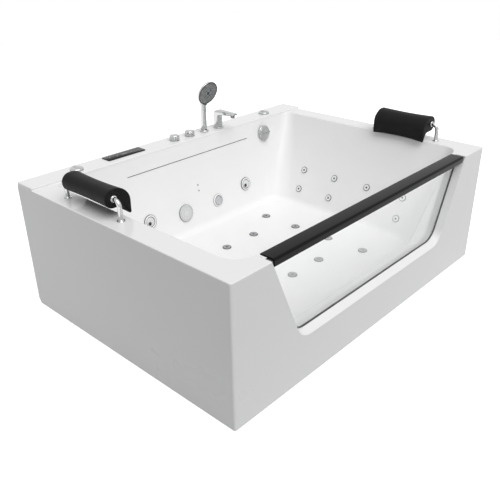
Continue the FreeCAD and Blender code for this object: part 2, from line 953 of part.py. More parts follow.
# ---------------------------------------------------------------- base board and frame


def base_board():
    inset = size.floor_fillet + size.shell_wall
    x = floor_x - inset
    near = floor_front + inset
    far = floor_back - inset
    gap = size.drain_bore + 2 * size.drain_wall + 1
    low = board_under - size.board_thickness
    depth = 3 * size.board_thickness
    radius = size.stem_radius + 1
    halves = []
    for side, start in ((-1, -x), (1, gap)):
        word = "left" if side < 0 else "right"
        name = f"{word}_board_sheet"
        sheet = box(name, start, near, board_under, x - gap, far - near, size.board_thickness)
        places = [(jx, jy) for jx, jy in floor_jet_places() if number(jx) * side > 0]
        tools = [rod(f"{word}_board_hole", radius, depth, jx, jy, low) for jx, jy in places]
        halves.append(cut(f"{word}_board", sheet, tools))
    return group("base_board", halves)


def long_rail(word, y):
    rail = Piece(f"{word}_rail")
    profile = rail.sketch("YZ", 0)
    side = size.tube_side
    tube_ring(profile, y - side / 2, rail_level, side, side, size.tube_wall)
    rail.pad(profile, 2 * (post_x - side * 0.7), symmetric=True)
    return finish(rail.body)


def tube_along_y(label, x, half):
    member = Piece(label)
    profile = member.sketch("XZ", 0)
    side = size.tube_side
    tube_ring(profile, -side / 2, member_level, side, side, size.tube_wall)
    member.pad(profile, 2 * half, symmetric=True)
    place(member.body, x, 0, 0)
    return member.body


def middle_cross_members():
    half = back - size.tube_side
    parts = []
    for side, word in ((-1, "left"), (1, "right")):
        parts.append(tube_along_y(f"{word}_middle_member", side * size.middle_member, half))
    return group("middle_cross_members", parts)


def end_frame(side, word):
    """Cross tube with a post welded on each end."""
    wide = size.tube_side
    wall = size.tube_wall
    half = post_y + wide / 2
    x = side * post_x - wide / 2
    height = beam_top - member_level - wide
    solids = [box(f"{word}_cross", x, -half, member_level, wide, 2 * half, wide)]
    hollows = [box(f"{word}_cross_bore", x + wall, -half, member_level + wall,
                   wide - 2 * wall, 2 * half, wide - 2 * wall)]
    for y in (-half, half - wide):
        solids.append(box(f"{word}_post", x, y, member_level + wide, wide, wide, height))
        hollows.append(box(f"{word}_post_bore", x + wall, y + wall, member_level + wide + wall,
                           wide - 2 * wall, wide - 2 * wall, height))
    frame = cut(f"{word}_end_frame", fuse(f"{word}_frame_tubes", solids), hollows)
    return finish(frame, f"{word}_end_frame")


def deck_rail():
    rail = Piece("deck_rail")
    profile = rail.sketch("YZ", 0)
    near = post_y + size.tube_side / 2 + size.seat_gap
    side = back - near - size.tube_wall
    tube_ring(profile, near, beam_top - side, side, side, size.tube_wall)
    rail.pad(profile, 2 * (post_x + size.tube_side / 2), symmetric=True)
    return finish(rail.body)


def levelling_feet():
    feet = []
    top = member_level - size.seat_gap
    pad = size.foot_radius
    stud = size.stud_radius
    y = post_y + size.tube_side / 2 - size.foot_inset
    for x in (-post_x, -size.middle_member, size.middle_member, post_x):
        for sign in (-1, 1):
            foot = Piece(f"foot_{len(feet) + 1}")
            nut = stud * 1.8
            foot.turn([
                (0, 0), (pad, 0), (pad, stud), (stud, stud * 2.5),
                (stud, top - stud * 1.5), (nut, top - stud * 1.5), (nut, top), (0, top),
            ])
            feet.append(place(foot.body, x, sign * y, 0))
    return group("levelling_feet", feet)


def equipment_shelf():
    depth = size.shelf_depth
    x = post_x + size.tube_side / 2
    y = post_y - size.tube_side / 2 - size.running_gap - depth
    low = shelf_level
    board = box("shelf_board", -x, y, low, 2 * x, depth, size.shelf_thickness)
    # The hoses of both taps come up through the shelf's back edge
    hose_x = hot_x - size.hose_room
    hose_y = fitting_y - size.hose_room
    length = size.tap_pitch + 2 * size.hose_room
    notch = box("hose_notch", hose_x, hose_y, low - depth / 2, length, depth, depth)
    return finish(cut("equipment_shelf", board, [notch]), "equipment_shelf")


# ---------------------------------------------------------------- deck fittings


def tap_valves():
    valves = []
    for x, word in ((hot_x, "hot"), (cold_x, "cold")):
        valve = Piece(f"{word}_valve")
        flange = size.tap_knob_radius + 1
        body = size.valve_radius
        inlet = size.inlet_radius
        pin = size.spindle_radius
        valve.turn([
            (0, -70), (inlet, -70), (inlet, -50), (body, -50), (body, size.seat_gap),
            (flange, size.seat_gap), (flange, 2.5), (flange - 2, 4), (pin + 3, 4), (pin + 3, 6),
            (pin, 6), (pin, size.tap_knob_height - 4), (0, size.tap_knob_height - 4),
        ])
        valves.append(place(valve.body, x, fitting_y, deck_top))
    return group("tap_valves", valves)


def tap_knob(word, x):
    knob = Piece(f"{word}_knob")
    radius = size.tap_knob_radius
    low = 4 + size.running_gap
    high = size.tap_knob_height + 4
    bore = size.spindle_radius + size.running_gap
    inside = size.tap_knob_height - 4 + size.running_gap
    knob.turn([
        (bore + 5, low), (radius, low), (radius - 1, high - 2), (radius - 3, high), (0, high),
        (0, inside), (bore, inside), (bore, 8), (bore + 5, 8),
    ])
    # Finger flutes round the skirt
    flute = knob.sketch("XY", low)
    ring(flute, 5, radius + 3.2, 0)
    cut_flute = knob.pocket(flute, high - low - 6, reverse=True)
    knob.repeat_round(cut_flute, 6)
    place(knob.body, x, fitting_y, deck_top)
    return finish(knob.body)


def spout():
    spout = Piece("spout")
    height = size.spout_height
    rear = size.spout_width / 2 - 2
    tip = -size.spout_reach
    base = spout.sketch("XY", size.seat_gap)
    ring(base, size.spout_width / 2 + 11)
    spout.pad(base, 5)
    profile = spout.sketch("YZ", 0)
    corners = [
        (rear, 4), (rear, height), (tip, height - 4), (tip, height - 14),
        (-rear, height - 26), (-rear, 4),
    ]
    outline(profile, corners, [0, 26, 3, 3, 18, 0])
    spout.pad(profile, size.spout_width, symmetric=True)
    stub = spout.sketch("XY", -60)
    ring(stub, size.inlet_radius)
    spout.pad(stub, 66)
    place(spout.body, spout_x, fitting_y, deck_top)
    return finish(spout.body)


def spout_aerator():
    aerator = Piece("spout_aerator")
    radius = size.aerator_radius
    aerator.turn([
        (0, -8), (radius - 3, -8), (radius - 3, -10), (radius, -10), (radius, 0), (0, 0),
    ])
    y = fitting_y - size.spout_reach + radius + 6
    slope = size.spout_reach - size.spout_width / 2 + 2
    share = (radius + 6) / slope
    z = deck_top + size.spout_height - 14 - 12 * share - size.seat_gap - 1.6
    place(aerator.body, spout_x, y, z)
    return finish(aerator.body)


def shower_holder():
    holder = Piece("shower_holder")
    stem = size.valve_radius
    outer = size.handle_side / 2 * 1.42 + 5
    holder.turn([
        (0, -50), (stem - 4, -50), (stem - 4, -30), (stem, -30), (stem, size.seat_gap),
        (outer, size.seat_gap), (outer, 8), (outer - 2, 10), (0, 10),
    ])
    socket = holder.sketch("XY", 4)
    side = size.handle_side / 2 + size.running_gap
    outline(socket, [(-side, -side), (side, -side), (side, side), (-side, side)], [6] * 4)
    holder.pocket(socket, 10, reverse=True)
    place(holder.body, shower_x, fitting_y, deck_top)
    return finish(holder.body)


head_turn = 90 + size.head_tilt


def on_head(item, ahead):
    """Places a piece on the shower head's axis, ahead of the head's middle."""
    y = fitting_y - size.head_lead - ahead * cos(size.head_tilt)
    z = deck_top + size.head_height - ahead * sin(size.head_tilt)
    return place(item, shower_x, y, z, (1, 0, 0), head_turn)


def hand_shower():
    handle = Piece("shower_handle")
    side = size.handle_side / 2
    profile = handle.sketch("XY", 4 + size.running_gap)
    outline(profile, [(-side, -side), (side, -side), (side, side), (-side, side)], [6] * 4)
    handle.pad(profile, size.handle_height)
    neck = []
    low = (size.handle_height - 14, 0, side)
    high = (size.head_height, -size.head_lead * 0.55, side - 3)
    for level, y, half in (low, high):
        sketch = handle.sketch("XY", level)
        corners = [(-half, y - half), (half, y - half), (half, y + half), (-half, y + half)]
        neck.append(outline(sketch, corners, [6] * 4))
    handle.loft(neck)
    place(handle.body, shower_x, fitting_y, deck_top)
    head = Piece("shower_head")
    radius = size.head_radius
    half = size.head_depth / 2
    head.turn([
        (0, -half), (radius * 0.6, -half), (radius, -half * 0.1), (radius, half - 4),
        (radius - 5, half - 4), (radius - 5, half - 8), (0, half - 8),
    ], [0, 12, 0, 0, 0, 0, 0])
    on_head(head.body, 0 * half)
    return finish(fuse("hand_shower", [handle.body, head.body]), "hand_shower")


def spray_face():
    face = Piece("spray_face")
    radius = size.head_radius - 5 - size.running_gap
    inner = radius - 4
    face.turn([(0, 0), (radius, 0), (radius, 3), (inner, 3), (inner, 7), (0, 9)])
    hole = face.sketch("XY", 4)
    ring(hole, 3, inner * 0.6, 0)
    cut_hole = face.pocket(hole, 6, reverse=True)
    face.repeat_round(cut_hole, 8)
    on_head(face.body, size.head_depth / 2 - 8 + size.seat_gap)
    return finish(face.body)


def spray_selector():
    selector = Piece("spray_selector")
    outer = size.head_radius - size.running_gap
    inner = size.head_radius - 9 + size.running_gap
    low = size.running_gap
    selector.turn([(inner, low), (outer, low), (outer - 1, 4), (inner, 4)])
    tab = selector.sketch("XY", low)
    corners = [(-8, -outer - 7), (8, -outer - 7), (9, -outer + 3), (-9, -outer + 3)]
    outline(tab, corners, [3, 3, 0, 0])
    selector.pad(tab, 4 - low)
    on_head(selector.body, size.head_depth / 2 - 4)
    return finish(selector.body)


def air_valves():
    valves = []
    for side, word in ((-1, "left"), (1, "right")):
        valve = Piece(f"{word}_air_valve")
        flange = size.air_knob_radius + 1
        body = size.valve_radius
        pin = size.spindle_radius
        hose = size.air_pipe
        valve.turn([
            (0, -60), (hose, -60), (hose, -44), (body, -44), (body, size.seat_gap),
            (flange, size.seat_gap), (flange - 1, 3), (pin, 3), (pin, 6), (0, 6),
        ])
        valves.append(place(valve.body, side * air_knob_x, fitting_y, deck_top))
    return group("air_valves", valves)


def air_knob(side, word):
    """Low disc with a raised finger bar."""
    knob = Piece(f"{word}_air_knob")
    radius = size.air_knob_radius
    low = 3 + size.running_gap
    high = low + size.air_knob_height
    bore = size.spindle_radius + size.running_gap
    knob.turn([
        (bore, low), (radius, low), (radius, high - 3), (radius - 3, high), (0, high),
        (0, 6 + size.running_gap), (bore, 6 + size.running_gap),
    ])
    bar = knob.sketch("YZ", 0)
    half = radius - 3
    corners = [(-half, high - 1), (half, high - 1), (half - 8, high + 7), (-half + 8, high + 7)]
    outline(bar, corners, [0, 0, 5, 5])
    knob.pad(bar, 7, symmetric=True)
    place(knob.body, side * air_knob_x, fitting_y, deck_top)
    return finish(knob.body)


def control_panel():
    """Flat keypad on the deck with its body in the deck's cut-out."""
    keypad = Piece("control_panel")
    half = size.keypad_length / 2
    wide = size.keypad_width / 2
    face = keypad.sketch("XY", size.seat_gap)
    outline(face, [(-half, -wide), (half, -wide), (half, wide), (-half, wide)], [8] * 4)
    keypad.pad(face, size.keypad_height)
    inner = keypad.sketch("XY", -18)
    x = keypad_body_length / 2
    y = keypad_body_width / 2
    outline(inner, [(-x, -y), (x, -y), (x, y), (-x, y)])
    keypad.pad(inner, 20)
    # Shallow button fields
    button = keypad.sketch("XY", size.seat_gap + size.keypad_height - 0.6)
    ring(button, 9, -half + 26, 0)
    field = keypad.pocket(button, 2, reverse=True)
    keypad.repeat(field, "X", size.keypad_length - 52, 5)
    place(keypad.body, keypad_x, keypad_y, deck_top)
    return finish(keypad.body)


# ---------------------------------------------------------------- wall and floor fittings


def large_jet_bodies():
    bodies = []
    for side, word in ((-1, "left"), (1, "right")):
        jet = Piece(f"{word}_jet_body")
        bezel = size.jet_bezel
        body = jet_body_radius
        bore = size.jet_ball + size.running_gap
        gap = size.seat_gap
        jet.turn([
            (0, -size.jet_reach), (body, -size.jet_reach), (body, gap), (bezel, gap),
            (bezel, 3), (bezel - 3, 5), (bore, 5), (bore, -12), (bore - 6, -22), (0, -22),
        ])
        stub = jet.sketch("XZ", 0)
        ring(stub, size.water_pipe - 6, 0, -size.jet_reach + 18)
        jet.pad(stub, jet_stub, reverse=True)
        bodies.append(on_back_wall(jet.body, side * size.jet_spread, size.jet_level))
    return group("large_jet_bodies", bodies)


jet_stub = jet_body_radius + 36


def jet_nozzle(side, word):
    """Eyeball whose nozzle sits off its axis, so that turning it moves the stream."""
    nozzle = Piece(f"{word}_jet_nozzle")
    ball = size.jet_ball
    nozzle.turn([
        (0, -11), (ball - 2, -11), (ball, -9), (ball, 4), (ball - 4, 8), (0, 9),
    ])
    mouth = nozzle.sketch("XY", -6)
    ring(mouth, 7, -9, -6)
    nozzle.pocket(mouth, 20, reverse=True)
    on_back_wall(nozzle.body, side * size.jet_spread, size.jet_level)
    return finish(nozzle.body)


def back_jets(side, word):
    jets = []
    for y, level in back_jet_places():
        jet = Piece(f"{word}_back_jet_{len(jets) + 1}")
        face = size.back_jet_radius
        stem = size.stem_radius
        seat = size.seat_gap
        jet.turn([(0, -30), (stem, -30), (stem, seat), (face, seat), (face - 3, 4), (0, 5)])
        jets.append(on_end_wall(jet.body, side, y, level))
    return group(f"{word}_back_jets", jets)


def floor_air_jets():
    jets = []
    for x, y in floor_jet_places():
        jet = Piece(f"floor_jet_{len(jets) + 1}")
        face = size.floor_jet_radius
        stem = size.stem_radius
        low = -floor_stem
        seat = size.seat_gap
        jet.turn([(0, low), (stem, low), (stem, seat), (face, seat), (face - 4, 4), (0, 5)])
        jets.append(place(jet.body, x, y, size.floor_height))
    return group("floor_air_jets", jets)


floor_stem = size.shell_wall + size.board_thickness + 9


def suction_body():
    suction = Piece("suction_body")
    body = suction_body_radius
    port = size.suction_pipe + 3
    bezel = size.suction_radius - 3
    suction.turn([
        (0, -50), (port, -50), (port, -30), (body, -30), (body, size.seat_gap),
        (bezel, size.seat_gap), (bezel, 3), (0, 3),
    ])
    on_back_wall(suction.body, size.suction_x, size.suction_level)
    return finish(suction.body)


def suction_grille():
    grille = Piece("suction_grille")
    radius = size.suction_radius
    low = 3 + size.seat_gap
    grille.turn([(0, low), (radius, low), (radius, 6), (radius - 3, 8.5), (0, 9.5)])
    slot = grille.sketch("XY", 6)
    corners = [(radius * 0.35, -3), (radius * 0.75, -3), (radius * 0.75, 3), (radius * 0.35, 3)]
    outline(slot, corners, [2.5] * 4)
    cut_slot = grille.pocket(slot, 6, reverse=True)
    grille.repeat_round(cut_slot, 10)
    on_back_wall(grille.body, size.suction_x, size.suction_level)
    return finish(grille.body)


def light_housing():
    housing = Piece("light_housing")
    body = light_body_radius
    face = size.light_radius
    lens = face - 11
    housing.turn([
        (0, -40), (body, -40), (body, size.seat_gap), (face, size.seat_gap), (face, 3),
        (face - 4, 6), (lens + 2, 9), (lens, 9), (lens, 3), (0, 3),
    ])
    on_back_wall(housing.body, size.light_x, size.light_level)
    return finish(housing.body)


def light_lens():
    lens = Piece("light_lens")
    radius = size.light_radius - 11 - size.running_gap
    low = 3 + size.seat_gap
    lens.turn([(0, low), (radius, low), (radius, 7), (radius * 0.6, 10), (0, 11)])
    on_back_wall(lens.body, size.light_x, size.light_level)
    return finish(lens.body)


def level_sensors():
    sensors = []
    for sign in (-1, 1):
        sensor = Piece(f"sensor_{len(sensors) + 1}")
        face = size.bar_radius - 1
        stem = sensor_stem
        sensor.turn([
            (0, -14), (stem, -14), (stem, size.seat_gap), (face, size.seat_gap), (face - 1, 3), (0, 4),
        ])
        level = size.sensor_level + sign * size.sensor_spacing / 2
        sensors.append(on_back_wall(sensor.body, 0, level))
    return group("level_sensors", sensors)


def overflow_body():
    body = Piece("overflow_body")
    stem = overflow_stem
    plate = size.overflow_radius - 8
    pin = size.spindle_radius
    body.turn([
        (0, -34), (stem, -34), (stem, size.seat_gap), (plate, size.seat_gap),
        (plate, 5), (pin, 5), (pin, 10), (0, 10),
    ])
    on_back_wall(body.body, overflow_x, size.overflow_level)
    return finish(body.body)


def overflow_knob():
    """Disc with a raised grip that lifts the waste plug when it is turned."""
    knob = Piece("overflow_knob")
    radius = size.overflow_radius
    low = 5 + size.running_gap
    bore = size.spindle_radius + size.running_gap
    inside = 10 + size.running_gap
    knob.turn([
        (bore, low), (radius, low), (radius, 14), (radius - 4, 18), (0, 18),
        (0, inside), (bore, inside),
    ])
    grip = knob.sketch("XY", 17)
    half = radius - 6
    outline(grip, [(-half, -5), (0, -9), (half, -5), (half, 5), (0, 9), (-half, 5)], [3, 30, 3, 3, 30, 3])
    knob.pad(grip, 11)
    on_back_wall(knob.body, overflow_x, size.overflow_level)
    return finish(knob.body)


def drain_body():
    drain = Piece("drain_body")
    bore = size.drain_bore
    outer = bore + 2 * size.drain_wall
    low = drain_low - size.floor_height
    drain.turn([
        (bore, low), (outer, low), (outer, size.seat_gap), (size.drain_radius, size.seat_gap),
        (size.drain_radius - 2, 3), (bore + 3, 3), (bore, 0),
    ])
    # Cross in the bore with a boss that guides the plug's stem
    hole = size.spindle_radius + size.running_gap
    boss = hole + size.drain_wall
    low = -size.guide_depth
    height = size.guide_depth - 4 - size.running_gap
    for half_x, half_y in ((bore + 1, 1.5), (1.5, bore + 1)):
        arm = drain.sketch("XY", low)
        outline(arm, [(-half_x, -half_y), (half_x, -half_y), (half_x, half_y), (-half_x, half_y)])
        drain.pad(arm, height)
    drain.pad(ring(drain.sketch("XY", low), boss), height)
    drain.pocket(ring(drain.sketch("XY", low), hole), height, reverse=True)
    place(drain.body, 0, basin_y, size.floor_height)
    return finish(drain.body)


drain_low = member_level + size.seat_gap


def drain_plug():
    plug = Piece("drain_plug")
    bore = size.drain_bore
    stem = size.spindle_radius
    low = 3 + size.running_gap
    plug.turn([
        (0, -30), (stem, -30), (stem, -4), (bore - 2, -1), (bore - 2, low), (bore + 9, low),
        (bore + 9, low + 2), (bore + 5, low + 5), (0, low + 6),
    ])
    place(plug.body, 0, basin_y, size.floor_height)
    return finish(plug.body)


def drain_trap():
    """Shallow trap under the waste with its outlet toward the back."""
    trap = Piece("drain_trap")
    radius = size.drain_radius + 8
    low = trap_level - size.outlet_radius - 4
    high = drain_low - size.seat_gap
    trap.turn([
        (0, low), (radius - 6, low), (radius, low + 6),
        (radius, high - 6), (radius - 12, high), (0, high),
    ])
    length = back - basin_y - size.foot_inset
    outlet = trap.sketch("XZ", 0)
    ring(outlet, size.outlet_radius, 0, trap_level)
    trap.pad(outlet, length, reverse=True)
    # Stop collar for the coupling of the house's waste pipe
    collar = trap.sketch("XZ", length - size.spigot_length - size.collar_depth)
    ring(collar, size.outlet_radius + size.collar_depth, 0, trap_level)
    trap.pad(collar, size.collar_depth, reverse=True)
    place(trap.body, 0, basin_y, 0)
    return finish(trap.body)


trap_level = member_level / 2 + 4

# ---------------------------------------------------------------- pillows


def comma_outline(sketch, side, share):
    """Comma-shaped section of a pillow at a share of its full size about the roll."""
    centre_x = half_length - size.roll_inset
    centre_z = rim_top + size.roll_rise
    radius = size.roll_radius
    reach = size.flap_reach - size.roll_inset

    def corner(x, z):
        return (side * (centre_x - share * x), centre_z + share * z)

    corners = [
        corner(-radius, -radius), corner(-radius, radius), corner(radius * 0.8, radius),
        corner(reach, -radius * 0.7), corner(reach - 4, -size.roll_rise),
        corner(reach - 30, -size.roll_rise), corner(reach - 34, -radius),
    ]
    radii = [radius * 0.96 * share, radius * 0.98 * share, radius * 0.9 * share,
             radius * 0.9 * share, 10 * share, 10 * share, 12 * share]
    return outline(sketch, corners, radii)


def pillow_y(side):
    return basin_y - side * size.pillow_offset


def pillow(side, word):
    pad = Piece(f"{word}_pillow")
    half = size.pillow_length / 2
    sections = []
    # Full at both ends with a slimmer waist between them
    half_shares = ((1, 0.94), (0.96, 1), (0.6, 0.95), (0.2, 0.92))
    shares = [(-along, share) for along, share in half_shares] + list(reversed(half_shares))
    for along, share in shares:
        sections.append(comma_outline(pad.sketch("XZ", half * along), side, share))
    pad.loft(sections)
    bore = pad.sketch("XZ", 0)
    ring(bore, size.bar_radius + size.running_gap, side * (half_length - size.roll_inset),
         rim_top + size.roll_rise)
    pad.pocket(bore, 2 * size.pillow_length, symmetric=True)
    place(pad.body, 0, pillow_y(side), 0)
    return finish(pad.body)


def pillow_bracket(side, word):
    """Bent bar through the pillow, standing on two flanges on the rim."""
    x = side * (half_length - size.roll_inset)
    y = pillow_y(side)
    high = rim_top + size.roll_rise
    low = rim_top + size.seat_gap
    reach = size.bar_spread
    route = [(x, y - reach, low), (x, y - reach, high), (x, y + reach, high), (x, y + reach, low)]
    bar = pipe(f"{word}_bar", route, size.bar_radius, [size.bar_bend] * 2)
    parts = [bar]
    for sign in (-1, 1):
        parts.append(rod(f"{word}_bar_flange", size.bar_flange, 4, x, y + sign * reach, low))
        end = y + sign * (size.pillow_length / 2 + size.running_gap)
        turn = -90 * sign
        parts.append(rod(f"{word}_collar", size.bar_collar, 5, x, end, high, (1, 0, 0), turn))
    return finish(fuse(f"{word}_pillow_bracket", parts), f"{word}_pillow_bracket")


# ---------------------------------------------------------------- machinery

pump_level = size.suction_level - (machine_y - back_wall_y(size.suction_level)) * tan(size.back_wall_angle)
jet_pipe_back = size.jet_reach - 18
jet_pipe_up = jet_stub + size.water_pipe + size.running_gap
jet_pipe_y = (
    back_wall_y(size.jet_level)
    + jet_pipe_back * cos(size.back_wall_angle)
    + jet_pipe_up * sin(size.back_wall_angle)
)
jet_pipe_z = (
    size.jet_level
    - jet_pipe_back * sin(size.back_wall_angle)
    + jet_pipe_up * cos(size.back_wall_angle)
)


def pump_motor():
    motor = Piece("motor_casing")
    radius = size.motor_radius
    length = size.motor_length
    motor.turn([
        (0, 0), (radius * 0.5, 0), (radius * 0.8, 8), (radius * 0.8, 18), (radius, 18),
        (radius, length - 45), (radius * 1.06, length - 45), (radius * 1.06, length - 6),
        (radius * 0.9, length), (0, length),
    ], [0] * 9 + [0])
    place(motor.body, pump_x, machine_y, pump_level, (0, 1, 0), -90)
    stand_top = pump_level - radius * 0.8
    foot_width = radius * 1.2
    y = machine_y - foot_width / 2
    x = pump_x - length + 50
    low = shelf_top + size.seat_gap
    stand = box("motor_stand", x, y, low, length - 100, foot_width, stand_top - low)
    return finish(fuse("pump_motor", [motor.body, stand]), "pump_motor")


def pump_wet_end():
    """Volute with the inlet on its axis and the outlet as its tangent."""
    volute = Piece("pump_volute")
    radius = size.volute_radius
    wide = size.volute_width
    port = size.suction_pipe + 5
    volute.turn([
        (0, size.seat_gap), (radius - 12, size.seat_gap), (radius, 10), (radius, wide - 10),
        (radius - 12, wide), (port, wide), (port, wide + 26), (0, wide + 26),
    ])
    place(volute.body, pump_x, machine_y, pump_level, (0, 1, 0), 90)
    outlet_x = pump_x + wide / 2
    height = size.volute_radius + 14
    outlet = rod("pump_outlet", size.water_pipe + 4, height, outlet_x, jet_pipe_y, pump_level)
    return finish(fuse("pump_wet_end", [volute.body, outlet]), "pump_wet_end")


def suction_pipe():
    tilt = size.back_wall_angle
    reach = 50 + size.seat_gap
    start_y = back_wall_y(size.suction_level) + reach * cos(tilt)
    start_z = size.suction_level - reach * sin(tilt)
    x = pump_x + size.volute_width + 26 + size.seat_gap
    route = [
        (size.suction_x, start_y, start_z),
        (size.suction_x, machine_y, pump_level),
        (x, machine_y, pump_level),
    ]
    return finish(pipe("suction_pipe", route, size.suction_pipe, [size.suction_pipe * 1.5]))


def pressure_pipe():
    x = pump_x + size.volute_width / 2
    low = pump_level + size.volute_radius + 14 + size.seat_gap
    route = [
        (x, jet_pipe_y, low),
        (x, jet_pipe_y, jet_pipe_z),
        (size.jet_spread + 40, jet_pipe_y, jet_pipe_z),
    ]
    return finish(pipe("pressure_pipe", route, size.water_pipe, [size.water_pipe * 1.4]))


def jet_pipes(side, word):
    """Two pipes behind a backrest, one for each row of jets, joined by a riser."""
    reach = 30 + size.running_gap + size.air_pipe
    tilt = size.backrest_angle
    half = size.back_jet_pitch * 1.5 + size.stem_radius
    parts = []
    ends = []
    for level in (size.back_jet_low, size.back_jet_top):
        x = side * (end_wall_x(level) + reach * cos(tilt))
        z = level - reach * sin(tilt)
        ends.append((x, basin_y, z))
        name = f"{word}_row_pipe"
        parts.append(rod(name, size.air_pipe, 2 * half, x, basin_y + half, z, (1, 0, 0), 90))
    parts.append(pipe(f"{word}_riser", ends, size.air_pipe * 0.9, []))
    return finish(fuse(f"{word}_jet_pipes", parts), f"{word}_jet_pipes")


def air_pipes():
    """Pipes under the floor jets, their header, and the feed from the blower."""
    radius = size.air_pipe
    level = size.floor_height - floor_stem - size.seat_gap - radius
    header_y = basin_y + size.rail_spread - size.tube_side / 2 - size.air_header - radius
    parts = []
    for spread, rows in ((size.floor_jet_wide, 1.5), (size.floor_jet_near, 1)):
        for side in (-1, 1):
            low = basin_y - size.floor_jet_pitch * rows - size.stem_radius
            length = header_y - low
            parts.append(rod("jet_row_pipe", radius, length, side * spread, header_y, level, (1, 0, 0), 90))
    x = blower_x + 2 * radius
    header = size.air_header
    parts.append(rod("air_header", header, 2 * x, -x, header_y, level, (0, 1, 0), 90))
    feed_y = post_y - size.tube_side / 2 - size.shelf_depth - radius - 5
    feed_x = blower_x
    under = rail_level - radius - 5
    inlet_y = machine_y - size.blower_radius - size.seat_gap
    route = [
        (feed_x, header_y, level),
        (feed_x, header_y, under),
        (feed_x, feed_y, under),
        (feed_x, feed_y, blower_port),
        (feed_x, inlet_y, blower_port),
    ]
    parts.append(pipe("air_feed", route, radius, [radius * 1.2, radius * 2, radius * 1.3]))
    return finish(fuse("air_pipes", parts), "air_pipes")


blower_port = shelf_top + 40


def blower():
    blower = Piece("blower")
    radius = size.blower_radius
    high = size.blower_height
    blower.turn([
        (0, size.seat_gap), (radius * 0.7, size.seat_gap), (radius * 0.7, 12), (radius, 12),
        (radius, 64), (radius - 8, 70), (radius - 8, high - 10), (radius - 20, high), (0, high),
    ])
    place(blower.body, blower_x, machine_y, shelf_top)
    return finish(blower.body)


def control_box():
    box_piece = Piece("control_box")
    x = size.box_length / 2
    y = size.box_width / 2
    plan = box_piece.sketch("XY", size.seat_gap)
    outline(plan, [(-x, -y), (x, -y), (x, y), (-x, y)], [8] * 4)
    box_piece.pad(plan, size.box_height)
    gland = box_piece.sketch("YZ", x - 1)
    ring(gland, 9, 0, 40)
    box_piece.pad(gland, 16)
    shelf_middle = post_y - size.tube_side / 2 - size.shelf_depth / 2
    place(box_piece.body, box_x, shelf_middle, shelf_top)
    return finish(box_piece.body)


def overflow_pipe():
    """Pipe from the overflow down behind the wall and under the frame to the trap."""
    tilt = size.back_wall_angle
    radius = size.overflow_pipe_radius
    reach = 34 + size.seat_gap
    start_y = back_wall_y(size.overflow_level) + reach * cos(tilt)
    start_z = size.overflow_level - reach * sin(tilt)
    turn_y = start_y + radius * 2.2 * cos(tilt)
    turn_z = start_z - radius * 2.2 * sin(tilt)
    shelf_y = post_y - size.tube_side / 2 - size.shelf_depth - radius - 4
    x = overflow_x
    route = [
        (x, start_y, start_z),
        (x, turn_y, turn_z),
        (x, shelf_y, shelf_top + 10),
        (x, shelf_y, trap_level),
        (x, basin_y, trap_level),
        (size.drain_radius + 8 + size.running_gap, basin_y, trap_level),
    ]
    return finish(pipe("overflow_pipe", route, radius, [radius * 1.5] * 4))

# ---------------------------------------------------------------- assembly

tub_shell()
base_board()
front_panel()
end_panel(-1, "left")
end_panel(1, "right")
window_glass()
window_seal()
rail_cap()
rail_beam()
long_rail("front", basin_y - size.rail_spread)
long_rail("back", basin_y + size.rail_spread)
middle_cross_members()
end_frame(-1, "left")
end_frame(1, "right")
deck_rail()
levelling_feet()
equipment_shelf()
control_panel()
tap_valves()
tap_knob("hot", hot_x)
tap_knob("cold", cold_x)
spout()
spout_aerator()
shower_holder()
hand_shower()
spray_face()
spray_selector()
air_valves()
air_knob(-1, "left")
air_knob(1, "right")
overflow_body()
overflow_knob()
overflow_pipe()
drain_body()
drain_plug()
drain_trap()
suction_body()
suction_grille()
light_housing()
light_lens()
large_jet_bodies()
jet_nozzle(-1, "left")
jet_nozzle(1, "right")
back_jets(-1, "left")
back_jets(1, "right")
floor_air_jets()
level_sensors()
pillow(-1, "left")
pillow(1, "right")
pillow_bracket(-1, "left")
pillow_bracket(1, "right")
pump_motor()
pump_wet_end()
blower()
control_box()
suction_pipe()
pressure_pipe()
air_pipes()
jet_pipes(-1, "left")
jet_pipes(1, "right")

doc.recompute()

for item in doc.Objects:
    if "Invalid" in item.State or "Error" in item.State:
        raise RuntimeError(f"{item.Label} failed: {item.State}")
for item in finished:
    if item.Shape.isNull() or not item.Shape.isValid() or not item.Shape.Solids:
        raise RuntimeError(f"{item.Label} has no valid solid")

os.makedirs("parts", exist_ok=True)
for item in finished:
    item.Shape.exportStep(f"parts/{item.Label}.step")
print(f"{len(finished)} sub-parts written")
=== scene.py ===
# %% [markdown]
# # A jetted bath with a window in its front
# This file dresses the bath's CAD model. The CAD gives every piece its place and its size, in
# metres, with +X along the window, +Y towards the tap deck and +Z up. Each cell below takes one
# material or one piece, says what it is on the real bath, and then makes it.

# %% Load the frame
import json
import math
import bmesh
import bpy
from mathutils import Matrix, Vector, noise
from mathutils.geometry import tessellate_polygon


